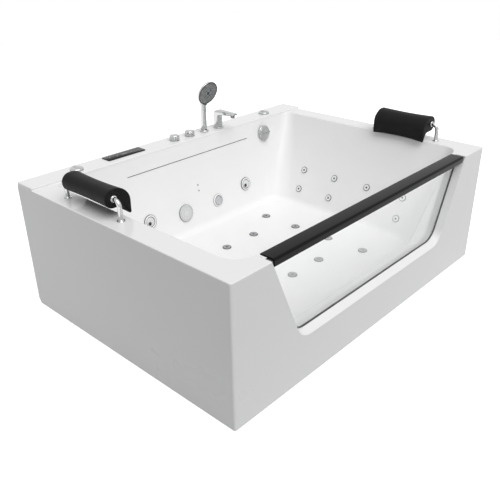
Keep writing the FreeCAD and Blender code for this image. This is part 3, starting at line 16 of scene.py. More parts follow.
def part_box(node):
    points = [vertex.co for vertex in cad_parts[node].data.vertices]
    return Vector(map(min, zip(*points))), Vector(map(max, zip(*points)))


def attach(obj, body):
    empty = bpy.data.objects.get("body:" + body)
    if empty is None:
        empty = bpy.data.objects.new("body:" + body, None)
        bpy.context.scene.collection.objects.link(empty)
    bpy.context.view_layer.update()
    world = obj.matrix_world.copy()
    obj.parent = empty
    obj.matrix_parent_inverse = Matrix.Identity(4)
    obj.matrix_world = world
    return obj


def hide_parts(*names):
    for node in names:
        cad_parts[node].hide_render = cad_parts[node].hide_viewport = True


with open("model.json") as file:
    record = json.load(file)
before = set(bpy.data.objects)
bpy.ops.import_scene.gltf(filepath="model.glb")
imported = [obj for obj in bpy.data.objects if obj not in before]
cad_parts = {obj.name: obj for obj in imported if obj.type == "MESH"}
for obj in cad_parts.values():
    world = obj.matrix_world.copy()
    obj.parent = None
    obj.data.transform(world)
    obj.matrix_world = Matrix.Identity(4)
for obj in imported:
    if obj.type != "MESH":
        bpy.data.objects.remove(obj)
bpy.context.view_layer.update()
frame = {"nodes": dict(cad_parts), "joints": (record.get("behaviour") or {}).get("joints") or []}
nodes = frame["nodes"]
joints = {joint["name"]: joint for joint in frame["joints"]}

# %% [markdown]
# ## Places that many pieces share
# The taps stand in one line on the deck, and the wall fittings sit on walls that lean out. A
# piece is drawn around its own Z axis first and then moved, so a lean is only one matrix.

# %% Shared places and leans
MM = 0.001
shell_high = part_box("tub_shell")[1]
deck_top = shell_high.z
DECK_RISE, DECK_DEPTH, END_RIM = 11 * MM, 122 * MM, 107 * MM
rim_top = deck_top - DECK_RISE
half_length = shell_high.x
back_wall_lean = math.radians(12)
backrest_lean = math.radians(25)
into_bath = Vector((0, -math.cos(back_wall_lean), math.sin(back_wall_lean)))
opening_back = shell_high.y - DECK_DEPTH
opening_end = half_length - END_RIM


def back_wall_place(x, level):
    """The point of the back wall at a height."""
    return Vector((x, opening_back - (rim_top - level) * math.tan(back_wall_lean), level))


def backrest_place(side, y, level):
    """The point of the left (-1) or right (+1) backrest at a height."""
    reach = opening_end - (rim_top - level) * math.tan(backrest_lean)
    return Vector((side * reach, y, level))


def facing(origin, direction, up=Vector((0, 0, 1))):
    """A matrix that turns a piece's Z axis to a direction and moves it to its place."""
    z = Vector(direction).normalized()
    x = up.cross(z)
    if x.length < 1e-6:
        x = Vector((1, 0, 0))
    x.normalize()
    y = z.cross(x)
    turn = Matrix((x, y, z)).transposed().to_4x4()
    return Matrix.Translation(origin) @ turn


def joint_place(name):
    return Vector(joints[name]["pos_m"])


print("deck at", round(deck_top, 3), "opening ends at", round(opening_end, 3))

# %% [markdown]
# ## Tools for meshes
# Turned pieces come from one profile spun round an axis. Lofted pieces come from rings of points
# that are joined up. Both close their ends, and both mark an edge as sharp only where two faces
# meet at a clear angle, so that a chrome curve reads as one smooth surface.

# %% Mesh tools
SEGMENTS = 64
moved = Matrix.Translation
SHARP = math.radians(32)


def add_object(name, data):
    piece = bpy.data.objects.new(name, data)
    bpy.context.scene.collection.objects.link(piece)
    return piece


def smooth(piece, angle=SHARP):
    """Shades a piece smooth, and keeps the edges sharper than an angle."""
    mesh = piece.data
    mesh.polygons.foreach_set("use_smooth", [True] * len(mesh.polygons))
    mesh.set_sharp_from_angle(angle=angle)
    return piece


def from_build(name, build, angle=SHARP):
    """Turns a bmesh into a smooth piece."""
    mesh = bpy.data.meshes.new(name)
    build.to_mesh(mesh)
    build.free()
    return smooth(add_object(name, mesh), angle)


def solid(name, rings, close_ends=True, matrix=Matrix.Identity(4)):
    """Joins rings of equal length into a closed skin, and faces it outwards."""
    build = bmesh.new()
    rows = [[build.verts.new(matrix @ Vector(point)) for point in ring] for ring in rings]
    for lower, upper in zip(rows, rows[1:]):
        count = len(lower)
        for i in range(count):
            j = (i + 1) % count
            build.faces.new((lower[i], lower[j], upper[j], upper[i]))
    if close_ends:
        build.faces.new(rows[0][::-1])
        build.faces.new(rows[-1])
    bmesh.ops.remove_doubles(build, verts=build.verts, dist=1e-6)
    bmesh.ops.recalc_face_normals(build, faces=build.faces)
    return from_build(name, build)


def rounded(profile, radius, steps=4):
    """Rounds the inner corners of an open profile of (radius, height) points."""
    result = [Vector(profile[0])]
    for before, corner, after in zip(profile, profile[1:], profile[2:]):
        corner = Vector(corner)
        back = (Vector(before) - corner)
        on = (Vector(after) - corner)
        trim = min(radius, back.length * 0.45, on.length * 0.45)
        start = corner + back.normalized() * trim
        stop = corner + on.normalized() * trim
        for step in range(steps + 1):
            t = step / steps
            result.append(start * (1 - t) ** 2 + corner * 2 * t * (1 - t) + stop * t ** 2)
    result.append(Vector(profile[-1]))
    return result


def turned(name, profile, matrix, soften=0.6, segments=SEGMENTS):
    """Spins a profile in millimetres round the Z axis and puts the piece in its place."""
    points = rounded(profile, soften)
    angles = [2 * math.pi * i / segments for i in range(segments)]
    rings = []
    for radius, height in points:
        size = max(radius, 0.0) * MM
        rings.append([(size * math.cos(a), size * math.sin(a), height * MM) for a in angles])
    is_ring = profile[0] == profile[-1]
    return solid(name, rings, close_ends=not is_ring, matrix=matrix)


def rounded_rectangle(length, width, radius, height, steps=6, middle=(0, 0)):
    """A ring of points round a rectangle with rounded corners, in millimetres."""
    ring = []
    corners = ((1, 1, 0), (-1, 1, 90), (-1, -1, 180), (1, -1, 270))
    for sign_x, sign_y, start in corners:
        cx = middle[0] + sign_x * (length / 2 - radius)
        cy = middle[1] + sign_y * (width / 2 - radius)
        for step in range(steps + 1):
            a = math.radians(start + 90 * step / steps)
            x = cx + radius * math.cos(a)
            y = cy + radius * math.sin(a)
            ring.append((x * MM, y * MM, height * MM))
    return ring


def outline_points(corners, radii, steps=6):
    """A closed outline whose corners are arcs, as a list of 2-D points."""
    points = []
    count = len(corners)
    for i in range(count):
        corner = Vector(corners[i])
        toward = (Vector(corners[i - 1]) - corner).normalized()
        away = (Vector(corners[(i + 1) % count]) - corner).normalized()
        if radii[i] <= 0:
            points.append(corner)
            continue
        half = toward.angle(away) / 2
        centre = corner + (toward + away).normalized() * (radii[i] / math.sin(half))
        start = corner + toward * (radii[i] / math.tan(half)) - centre
        stop = corner + away * (radii[i] / math.tan(half)) - centre
        for step in range(steps + 1):
            t = step / steps
            arm = start.normalized().slerp(stop.normalized(), t) if 0 < t < 1 else (start,
                                                                                    stop)[t > 0]
            points.append(centre + arm.normalized() * radii[i])
    return points


def evenly(points, count):
    """A closed outline cut into equal lengths."""
    closed = [*points, points[0]]
    lengths = [0.0]
    for a, b in zip(closed, closed[1:]):
        lengths.append(lengths[-1] + (b - a).length)
    result = []
    place = 0
    for i in range(count):
        want = lengths[-1] * i / count
        while lengths[place + 1] < want:
            place += 1
        part = (want - lengths[place]) / max(lengths[place + 1] - lengths[place], 1e-9)
        result.append(closed[place].lerp(closed[place + 1], part))
    return result


def inset(points, amount):
    """A closed outline moved inwards along its own normals."""
    count = len(points)
    area = sum(points[i - 1].x * points[i].y - points[i].x * points[i - 1].y for i in range(count))
    sign = 1 if area > 0 else -1
    result = []
    for i in range(count):
        along = (points[(i + 1) % count] - points[i - 1]).normalized()
        result.append(points[i] + sign * amount * Vector((-along.y, along.x)))
    return result


def tube(name, path, radius, segments=32):
    """A round bar along a path of points."""
    rings = []
    side = None
    for i, point in enumerate(path):
        ahead = (path[min(i + 1, len(path) - 1)] - path[max(i - 1, 0)]).normalized()
        side = (side or ahead.orthogonal()).copy()
        side = (side - ahead * side.dot(ahead)).normalized()
        up = ahead.cross(side)
        angles = [2 * math.pi * k / segments for k in range(segments)]
        rings.append([point + radius * (math.cos(a) * side + math.sin(a) * up) for a in angles])
    return solid(name, rings)


def apply_modifiers(piece):
    """Puts the result of a piece's modifiers into its mesh."""
    graph = bpy.context.evaluated_depsgraph_get()
    mesh = bpy.data.meshes.new_from_object(piece.evaluated_get(graph))
    piece.modifiers.clear()
    piece.data = mesh
    return piece


def bevel(piece, width, segments=3, angle=40):
    """Rounds a piece's edges that are sharper than an angle."""
    step = piece.modifiers.new("bevel", "BEVEL")
    step.width = width * MM
    step.segments = segments
    step.limit_method = "ANGLE"
    step.angle_limit = math.radians(angle)
    step.harden_normals = False
    return smooth(apply_modifiers(piece))


def join(name, pieces):
    """Makes one piece out of several meshes."""
    build = bmesh.new()
    for piece in pieces:
        build.from_mesh(piece.data)
        bpy.data.objects.remove(piece)
    return from_build(name, build)


def finish(piece, body, material, slot, *replaced):
    """Gives a piece its material and its body, and hides the CAD nodes that it stands for. The slot
    is not used.
    """
    piece.data.materials.clear()
    piece.data.materials.append(material)
    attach(piece, body)
    if replaced:
        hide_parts(*replaced)
    return piece


# %% [markdown]
# ## Shader groups
# A real surface is never one even colour. Two small groups bring that life into each material:
# one drifts the colour and the gloss over the surface, the other raises a fine grain. Both read
# Object coordinates, so their pattern keeps its size on every piece.

# %% Shader groups
def add_nodes(tree, *kinds):
    return [tree.nodes.new(kind) for kind in kinds]


def set_values(node, values):
    """Sets a node's unlinked inputs by name or number."""
    for label, value in values.items():
        node.inputs[label].default_value = value


def wire(tree, *links):
    """Makes links, each given as a node, its output, the next node and its input."""
    for node, output, next_node, target in links:
        tree.links.new(node.outputs[output], next_node.inputs[target])


def new_group(name, inputs, outputs):
    tree = bpy.data.node_groups.new(name, "ShaderNodeTree")
    for label, kind, value in inputs:
        socket = tree.interface.new_socket(label, in_out="INPUT", socket_type=kind)
        socket.default_value = value
    for label, kind in outputs:
        tree.interface.new_socket(label, in_out="OUTPUT", socket_type=kind)
    return tree, tree.nodes.new("NodeGroupInput"), tree.nodes.new("NodeGroupOutput")


def drift_group():
    """Colour and roughness that wander softly between two values."""
    tree, start, stop = new_group("Drift", [
        ("Color A", "NodeSocketColor", (0.8, 0.8, 0.8, 1)),
        ("Color B", "NodeSocketColor", (0.7, 0.7, 0.7, 1)),
        ("Scale", "NodeSocketFloat", 3.0),
        ("Roughness A", "NodeSocketFloat", 0.2),
        ("Roughness B", "NodeSocketFloat", 0.3),
    ], [("Color", "NodeSocketColor"), ("Roughness", "NodeSocketFloat")])
    coordinates, noise = add_nodes(tree, "ShaderNodeTexCoord", "ShaderNodeTexNoise")
    noise.inputs["Detail"].default_value = 4
    color = tree.nodes.new("ShaderNodeMix")
    color.data_type = "RGBA"
    gloss = tree.nodes.new("ShaderNodeMapRange")
    wire(tree, (coordinates, "Object", noise, "Vector"), (start, "Scale", noise, "Scale"),
               (noise, "Fac", color, "Factor"), (start, "Color A", color, "A"),
               (start, "Color B", color, "B"), (noise, "Fac", gloss, "Value"),
               (start, "Roughness A", gloss, "To Min"), (start, "Roughness B", gloss, "To Max"),
               (color, "Result", stop, "Color"), (gloss, "Result", stop, "Roughness"))
    return tree


def grain_group():
    """A fine bump from cells or noise, put out as a normal."""
    tree, start, stop = new_group("Grain", [
        ("Scale", "NodeSocketFloat", 400.0),
        ("Height", "NodeSocketFloat", 0.0002),
        ("Cells", "NodeSocketFloat", 0.5),
    ], [("Normal", "NodeSocketVector"), ("Mask", "NodeSocketFloat")])
    coordinates, noise, cells, both, bump = add_nodes(tree, "ShaderNodeTexCoord",
                                                      "ShaderNodeTexNoise", "ShaderNodeTexVoronoi",
                                                      "ShaderNodeMix", "ShaderNodeBump")
    for texture in (noise, cells):
        wire(tree, (coordinates, "Object", texture, "Vector"), (start, "Scale", texture, "Scale"))
    wire(tree, (start, "Cells", both, "Factor"), (noise, "Fac", both, "A"),
               (cells, "Distance", both, "B"), (both, "Result", bump, "Height"),
               (start, "Height", bump, "Distance"), (bump, "Normal", stop, "Normal"),
               (both, "Result", stop, "Mask"))
    return tree


DRIFT = drift_group()
GRAIN = grain_group()


def material(name, color_a, color_b, rough=(0.2, 0.3), drift=3.0, grain=None, **constants):
    """A Principled material with drifting colour and gloss, and grain where it is asked for."""
    made = bpy.data.materials.new(name)
    made.use_nodes = True
    tree = made.node_tree
    shader = tree.nodes["Principled BSDF"]
    life = tree.nodes.new("ShaderNodeGroup")
    life.node_tree = DRIFT
    set_values(life, {"Color A": (*color_a, 1), "Color B": (*color_b, 1), "Scale": drift,
                      "Roughness A": rough[0], "Roughness B": rough[1]})
    wire(tree, (life, "Color", shader, "Base Color"), (life, "Roughness", shader, "Roughness"))
    if grain:
        skin = tree.nodes.new("ShaderNodeGroup")
        skin.node_tree = GRAIN
        set_values(skin, dict(zip(("Scale", "Height", "Cells"), grain)))
        tree.links.new(skin.outputs["Normal"], shader.inputs["Normal"])
    set_values(shader, {label.replace("_", " "): value for label, value in constants.items()})
    made.diffuse_color = (*color_a, 1)
    return made


def grey(value):
    return (value, value, value)


# %% [markdown]
# ## Materials
# Sanitary acrylic is a thick glossy white skin with a very slight waviness from its mould. The
# front and end panels are the same white with a little less gloss. Chrome is a mirror with faint
# wiping marks, and the pillows are a soft black foam whose skin has a fine leathery grain.

# %% Materials
acrylic = material(
    "acrylic", (0.868, 0.868, 0.866), (0.852, 0.853, 0.852), (0.10, 0.16), 2.2,
    grain=(9.0, 0.00025, 0.0), Specular_IOR_Level=0.25, Coat_Weight=0.04, Coat_Roughness=0.06)
panel_white = material(
    "panel_white", (0.84, 0.842, 0.845), (0.81, 0.813, 0.818), (0.24, 0.34), 1.6,
    grain=(160.0, 0.00006, 0.2), Specular_IOR_Level=0.25)
chrome = material(
    "chrome", (0.55, 0.555, 0.556), (0.49, 0.495, 0.498), (0.05, 0.11), 14.0,
    grain=(30.0, 0.00003, 0.0), Metallic=1.0)
black_lacquer = material(
    "black_lacquer", grey(0.004), grey(0.007), (0.07, 0.13), 5.0, grain=(14.0, 0.0001, 0.0),
    Specular_IOR_Level=0.07, Coat_Weight=0.04, Coat_Roughness=0.04)
foam_skin = material(
    "foam_skin", grey(0.007), grey(0.012), (0.50, 0.62), 22.0, grain=(900.0, 0.00022, 0.55),
    Specular_IOR_Level=0.12)
pale_plastic = material(
    "pale_plastic", (0.72, 0.725, 0.73), (0.66, 0.665, 0.67), (0.25, 0.38), 20.0,
    grain=(700.0, 0.00004, 0.3))
# Besides the jets' own grey plastic, this grey also paints the shade in the suction cover's holes.
jet_grey_and_hole_shade = material(
    "jet_grey_and_hole_shade", (0.34, 0.345, 0.35), (0.27, 0.275, 0.28), (0.30, 0.42), 26.0,
    grain=(600.0, 0.00005, 0.3))
# Besides real dark plastic parts, this near-black also paints the shade inside the jet nozzles'
# openings.
dark_plastic = material(
    "dark_plastic", grey(0.018), grey(0.028), (0.32, 0.45), 30.0, grain=(800.0, 0.00005, 0.4))
# Besides the window seal's own rubber, this grey also paints the shade in the back wall's groove.
seal_rubber_and_groove_shade = material(
    "seal_rubber_and_groove_shade", grey(0.09), grey(0.13), (0.45, 0.6), 12.0, grain=(500.0, 0.00008, 0.2))
keypad_film = material(
    "keypad_film", grey(0.003), grey(0.005), (0.12, 0.2), 8.0, grain=(120.0, 0.00003, 0.1),
    Specular_IOR_Level=0.10)
keypad_mark = material("keypad_mark", grey(0.55), grey(0.45), (0.4, 0.5), 60.0)
pipe_white = material(
    "pipe_white", (0.78, 0.78, 0.76), (0.70, 0.70, 0.685), (0.35, 0.5), 9.0,
    grain=(260.0, 0.00008, 0.1))
machine_black = material(
    "machine_black", grey(0.030), grey(0.05), (0.42, 0.58), 12.0, grain=(420.0, 0.00012, 0.4))
motor_enamel = material(
    "motor_enamel", (0.06, 0.085, 0.12), (0.045, 0.065, 0.095), (0.3, 0.45), 10.0,
    grain=(220.0, 0.00012, 0.2))
frame_paint = material(
    "frame_paint", grey(0.32), grey(0.26), (0.38, 0.55), 7.0, grain=(340.0, 0.00012, 0.3))
zinc = material(
    "zinc", (0.58, 0.58, 0.56), (0.48, 0.48, 0.47), (0.28, 0.42), 45.0,
    grain=(380.0, 0.00006, 0.3), Metallic=1.0)
white_plastic = material(
    "white_plastic", grey(0.86), grey(0.82), (0.2, 0.3), 20.0, grain=(600.0, 0.00003, 0.3))
# Besides the jets' own dull chrome rims and lips, this also paints the shade in the gap round each
# eyeball.
dull_chrome_and_gap_shade = material(
    "dull_chrome_and_gap_shade", (0.16, 0.163, 0.168), (0.12, 0.122, 0.126), (0.2, 0.3), 30.0,
    grain=(160.0, 0.00002, 0.0), Metallic=1.0)
spray_grey = material(
    "spray_grey", (0.30, 0.305, 0.31), (0.24, 0.245, 0.25), (0.3, 0.42), 36.0,
    grain=(700.0, 0.00004, 0.3))
display_glass = material(
    "display_glass", (0.030, 0.034, 0.040), (0.022, 0.025, 0.03), (0.08, 0.14), 20.0,
    grain=(90.0, 0.00002, 0.0), Coat_Weight=0.4)
print(len(bpy.data.materials), "materials so far")

# %% [markdown]
# ## Board and glass
# The board under the basin and the shelf for the pump are pressed wood chips, so their colour
# comes from cells. The glass is a clear pane with a faint tint, and its colour drifts only a
# little, because glass keeps a plain transmission.

# %% Board and glass
def board_material():
    made = material("particle_board", (0.55, 0.40, 0.25), (0.42, 0.29, 0.17), (0.6, 0.75), 30.0,
                    grain=(260.0, 0.0003, 0.7))
    tree = made.node_tree
    coordinates, chips = add_nodes(tree, "ShaderNodeTexCoord", "ShaderNodeTexVoronoi")
    chips.inputs["Scale"].default_value = 240
    ramp = tree.nodes.new("ShaderNodeValToRGB")
    ramp.color_ramp.elements[0].color = (0.36, 0.24, 0.14, 1)
    ramp.color_ramp.elements[1].color = (0.66, 0.50, 0.33, 1)
    wire(tree, (coordinates, "Object", chips, "Vector"), (chips, "Color", ramp, "Fac"))
    tree.links.new(ramp.outputs["Color"], tree.nodes["Principled BSDF"].inputs["Base Color"])
    return made


def glass_material(name, tint, rough):
    return material(name, tint, tuple(0.98 * value for value in tint), rough, 2.0,
                    Transmission_Weight=1.0, IOR=1.45)


particle_board = board_material()
clear_glass = glass_material("clear_glass", (0.985, 0.995, 0.992), (0.0, 0.01))
lens_glass = glass_material("lens_glass", (0.95, 0.97, 0.98), (0.12, 0.2))

# %% [markdown]
# ## CAD nodes that keep their shape
# The frame, the machines and the pipes are seen only from behind and below. Their CAD solids are
# right as they are, so each one only gets its finish.

# %% Finish the CAD nodes
kept = {
    particle_board: ["base_board", "equipment_shelf"],
    seal_rubber_and_groove_shade: ["window_seal"],
    frame_paint: ["rail_beam", "front_rail", "back_rail", "middle_cross_members",
                  "left_end_frame", "right_end_frame", "deck_rail"],
    zinc: ["levelling_feet"],
    pipe_white: ["overflow_body", "overflow_pipe", "drain_trap", "suction_body", "suction_pipe",
                 "pressure_pipe", "air_pipes", "left_jet_pipes", "right_jet_pipes"],
    machine_black: ["pump_wet_end", "blower", "control_box"],
    motor_enamel: ["pump_motor"],
    chrome: ["tap_valves", "shower_holder", "air_valves", "drain_body", "drain_plug",
             "left_pillow_bracket", "right_pillow_bracket", "spout", "hand_shower",
             "left_air_knob", "right_air_knob", "hot_knob", "cold_knob", "overflow_knob"],
    clear_glass: ["window_glass"],
    lens_glass: ["light_lens"],
    pale_plastic: ["large_jet_bodies", "suction_grille", "light_housing"],
    jet_grey_and_hole_shade: ["left_jet_nozzle", "right_jet_nozzle", "left_back_jets", "right_back_jets",
               "floor_air_jets", "spray_face", "spout_aerator"],
    dark_plastic: ["spray_selector", "level_sensors"],
    keypad_film: ["control_panel"],
    black_lacquer: ["rail_cap"],
    panel_white: ["front_panel", "left_end_panel", "right_end_panel"],
    acrylic: ["tub_shell"],
    foam_skin: ["left_pillow", "right_pillow"],
}
for finish_of, names in kept.items():
    for node in names:
        nodes[node].data.materials.clear()
        nodes[node].data.materials.append(finish_of)
print(sum(len(names) for names in kept.values()), "nodes have a finish")

# %% [markdown]
# ## Repeating with geometry nodes
# A bath repeats small things: jets in rows, holes in rings, marks in a line. One node group puts a
# small template on a list of points, and another one draws dots on rings round a middle. Both
# end in real meshes, so each repeated set is one plain piece.

# %% Node group that spreads a template
def socket_id(tree, label):
    """The identifier that a modifier uses for one of a group's inputs."""
    return [item.identifier for item in tree.interface.items_tree if item.name == label][0]


def spread_group():
    """Puts an object on every point, turned one way, in one material."""
    tree = bpy.data.node_groups.new("Spread", "GeometryNodeTree")
    for label, kind in (("Points", "Geometry"), ("Template", "Object"), ("Turn", "Vector"),
                        ("Finish", "Material")):
        tree.interface.new_socket(label, in_out="INPUT", socket_type="NodeSocket" + kind)
    tree.interface.new_socket("Pieces", in_out="OUTPUT", socket_type="NodeSocketGeometry")
    start, stop = tree.nodes.new("NodeGroupInput"), tree.nodes.new("NodeGroupOutput")
    shape, turn, copies, real, paint = add_nodes(tree, "GeometryNodeObjectInfo",
                                                 "FunctionNodeEulerToRotation",
                                                 "GeometryNodeInstanceOnPoints",
                                                 "GeometryNodeRealizeInstances",
                                                 "GeometryNodeSetMaterial")
    wire(tree, (start, "Template", shape, "Object"), (start, "Turn", turn, "Euler"),
               (start, "Points", copies, "Points"), (shape, "Geometry", copies, "Instance"),
               (turn, "Rotation", copies, "Rotation"), (copies, "Instances", real, "Geometry"),
               (real, "Geometry", paint, "Geometry"), (start, "Finish", paint, "Material"),
               (paint, "Geometry", stop, "Pieces"))
    return tree


SPREAD = spread_group()


def run_nodes(piece, tree, values):
    """Gives a piece a node group with its inputs set, and keeps the result as a plain mesh."""
    step = piece.modifiers.new("nodes", "NODES")
    step.node_group = tree
    for label, value in values.items():
        step[socket_id(tree, label)] = value
    return apply_modifiers(piece)


def spread(name, template, places, direction, paint):
    """One mesh of a template at every place, with its Z axis along a direction."""
    mesh = bpy.data.meshes.new(name)
    mesh.from_pydata([tuple(place) for place in places], [], [])
    turn = facing(Vector((0, 0, 0)), direction).to_euler()
    piece = add_object(name, mesh)
    run_nodes(piece, SPREAD, {"Template": template, "Turn": tuple(turn), "Finish": paint})
    return smooth(piece)


# %% Node group that draws rings of dots
def ring_rows_group():
    """Dots on rings round a middle: a grid whose two ways become radius and angle."""
    tree = bpy.data.node_groups.new("Ring rows", "GeometryNodeTree")
    for label, kind in (("Base", "Geometry"), ("Rings", "Int"), ("In a ring", "Int"),
                        ("Inner radius", "Float"), ("Outer radius", "Float"),
                        ("Dot radius", "Float"), ("Dot height", "Float"), ("Finish", "Material")):
        tree.interface.new_socket(label, in_out="INPUT", socket_type="NodeSocket" + kind)
    tree.interface.new_socket("Dots", in_out="OUTPUT", socket_type="NodeSocketGeometry")
    start, stop = tree.nodes.new("NodeGroupInput"), tree.nodes.new("NodeGroupOutput")
    (grid, position, split, reach, angle, last, full, polar, place, dot, copies, real,
     paint) = add_nodes(
        tree, "GeometryNodeMeshGrid", "GeometryNodeInputPosition", "ShaderNodeSeparateXYZ",
        "ShaderNodeMapRange", "ShaderNodeMapRange", "ShaderNodeMath", "ShaderNodeMath",
        "ShaderNodeCombineXYZ", "GeometryNodeSetPosition", "GeometryNodeMeshCone",
        "GeometryNodeInstanceOnPoints", "GeometryNodeRealizeInstances", "GeometryNodeSetMaterial")
    link = tree.links.new
    for item in (reach, angle):
        set_values(item, {"From Min": -0.5, "From Max": 0.5})
    last.operation = "DIVIDE"
    full.operation = "MULTIPLY_ADD"
    last.inputs[0].default_value = -2 * math.pi
    set_values(full, {1: 1.0, 2: 2 * math.pi})
    wire(tree, (start, "Rings", grid, "Vertices X"), (start, "In a ring", grid, "Vertices Y"),
               (position, "Position", split, "Vector"), (split, "X", reach, "Value"),
               (split, "Y", angle, "Value"), (start, "Inner radius", reach, "To Min"),
               (start, "Outer radius", reach, "To Max"), (start, "In a ring", last, 1),
               (last, 0, full, 0), (full, 0, angle, "To Max"))
    cosine, sine = tree.nodes.new("ShaderNodeMath"), tree.nodes.new("ShaderNodeMath")
    across, along = tree.nodes.new("ShaderNodeMath"), tree.nodes.new("ShaderNodeMath")
    cosine.operation, sine.operation = "COSINE", "SINE"
    across.operation = along.operation = "MULTIPLY"
    for turn, product, axis in ((cosine, across, "X"), (sine, along, "Y")):
        wire(tree, (angle, "Result", turn, 0), (turn, 0, product, 0),
                   (reach, "Result", product, 1), (product, 0, polar, axis))
    wire(tree, (grid, "Mesh", place, "Geometry"), (polar, "Vector", place, "Position"))
    dot.inputs["Vertices"].default_value = 10
    link(start.outputs["Dot radius"], dot.inputs["Radius Bottom"])
    narrow = tree.nodes.new("ShaderNodeMath")
    narrow.operation = "MULTIPLY"
    narrow.inputs[1].default_value = 0.6
    wire(tree, (start, "Dot radius", narrow, 0), (narrow, 0, dot, "Radius Top"),
               (start, "Dot height", dot, "Depth"), (place, "Geometry", copies, "Points"),
               (dot, "Mesh", copies, "Instance"), (copies, "Instances", real, "Geometry"),
               (real, "Geometry", paint, "Geometry"), (start, "Finish", paint, "Material"),
               (paint, "Geometry", stop, "Dots"))
    return tree


RING_ROWS = ring_rows_group()


def ring_rows(name, matrix, rings, count, inner, outer, radius, height, paint):
    """Rings of small dots in millimetres, drawn round the Z axis and moved to their place."""
    mesh = bpy.data.meshes.new(name)
    mesh.from_pydata([(0, 0, 0)], [], [])
    piece = add_object(name, mesh)
    run_nodes(piece, RING_ROWS, {
        "Rings": rings, "In a ring": count, "Inner radius": inner * MM, "Outer radius": outer * MM,
        "Dot radius": radius * MM, "Dot height": height * MM, "Finish": paint})
    piece.data.transform(matrix)
    return smooth(piece)


# %% [markdown]
# ## Rail over the window
# The rail is one black lacquered moulding. Its top is flat, it rolls over into a front face, and
# its right end is rounded in plan. The section is drawn once and carried along the window.

# %% Rail
def rail():
    low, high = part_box("rail_cap")
    plate, rise, roll, end = 6 * MM, 30 * MM, 10 * MM, 16 * MM
    corners = [(low.y, high.z - rise), (low.y + plate, high.z - rise), (low.y + plate,
                                                                        high.z - plate),
               (high.y, high.z - plate), (high.y, high.z), (low.y, high.z)]
    section = outline_points(corners, [1.5 * MM, 1 * MM, 4 * MM, 1 * MM, 3 * MM, roll], 8)
    rings = []
    steps = 9
    stations = [(low.x, 1.2 * MM), (low.x + 0.6 * MM, 0.3 * MM), (low.x + 1.5 * MM, 0)]
    for i in range(61):
        stations.append((low.x + 4 * MM + (high.x - end - low.x - 8 * MM) * i / 60, 0))
    for i in range(1, steps + 1):
        a = math.pi / 2 * i / steps
        stations.append((high.x - end + end * math.sin(a), end * (1 - math.cos(a))))
    for x, cut_back in stations:
        ring = []
        for point in section:
            y = min(max(point.x, low.y + cut_back), high.y - cut_back)
            z = min(point.y, high.z - 0.35 * cut_back)
            ring.append((x, y, z))
        rings.append(ring)
    return solid("rail_moulding", rings)


finish(rail(), "tub", black_lacquer, "rail", "rail_cap")

# %% [markdown]
# ## Neck pillows
# Each pillow is a comma in section: a full roll with a flap that leans into the bath. It is
# slimmer in its middle, its ends are flat with a rounded edge and a pressed line, and a bore lets
# it tilt on its bar. It is moulded foam with its own skin, so it has no sewn seam.

# %% Pillows
# Without a seed of its own this noise starts from the clock and differs in every run.
noise.seed_set(7)
COMMA = [(-39, -39), (-39, 39), (36, 39), (82, 0), (80, -82), (70, -82), (47, -39)]
COMMA_RADII = [37.4, 38.2, 70, 64, 4.4, 4.4, 30]
AROUND = 112


def pillow(side, word):
    """A roll with a flap, drawn across the bar and carried along it."""
    hinge = joint_place(f"{word}_pillow_tilt")
    half = 146.0
    edge = 4.4
    base = evenly(outline_points(COMMA, COMMA_RADII), AROUND)
    stations = []
    for i in range(7):
        a = math.pi / 2 * i / 6
        stations.append((half - edge + edge * math.sin(a), edge * (1 - math.cos(a))))
    for depth, amount in ((0.0, 4.6), (0.9, 4.9), (0.9, 5.3), (0.0, 5.6)):
        stations.append((half - depth, amount))
    body = [(half - edge) * i / 22 for i in range(-21, 22)]
    stations = [(-y, amount) for y, amount in reversed(stations)] + [(y,
                                                                      0) for y in body] + stations
    rings = []
    for y, amount in stations:
        share = 0.90 + 0.08 * (y / half) ** 2
        ring = [Vector((point.x * share, point.y * share)) for point in base]
        rings.append([(point, y) for point in inset(ring, amount)])
    build = bmesh.new()

    def vertex(point, y):
        place = Vector((-side * point.x, y, point.y)) * MM + hinge
        wander = noise.noise_vector(place * 9.0 + Vector((side, 3, 7)))
        return build.verts.new(place + wander * 0.0007)

    rows = [[vertex(point, y) for point, y in ring] for ring in rings]
    for lower, upper in zip(rows, rows[1:]):
        for i in range(AROUND):
            j = (i + 1) % AROUND
            build.faces.new((lower[i], lower[j], upper[j], upper[i]))
    bore = []
    for row, y in ((rows[0], -half), (rows[-1], half)):
        angles = [2 * math.pi * i / 40 for i in range(40)]
        circle = [Vector((8.4 * math.cos(a), 8.4 * math.sin(a))) for a in angles]
        bore.append([build.verts.new(Vector((-side * p.x, y, p.y)) * MM + hinge) for p in circle])
        loops = [[Vector((v.co.x, v.co.z, 0)) for v in row], [Vector((v.co.x, v.co.z,
                                                                      0)) for v in bore[-1]]]
        flat = [*row, *bore[-1]]
        for corners in tessellate_polygon(loops):
            build.faces.new([flat[i] for i in corners])
    for i in range(40):
        j = (i + 1) % 40
        build.faces.new((bore[0][i], bore[0][j], bore[1][j], bore[1][i]))
    bmesh.ops.recalc_face_normals(build, faces=build.faces)
    return from_build(f"{word}_neck_pillow", build, math.radians(50))


for side, word in ((-1, "left"), (1, "right")):
    piece = finish(pillow(side, word), f"{word}_pillow", foam_skin, "foam", f"{word}_pillow")

# %% [markdown]
# ## Pillow bars
# A bright bar runs through each pillow. It turns down in a short bend at both ends and stands on
# a round flange, which two screws hold to the rim. A collar covers the hole in the foam.

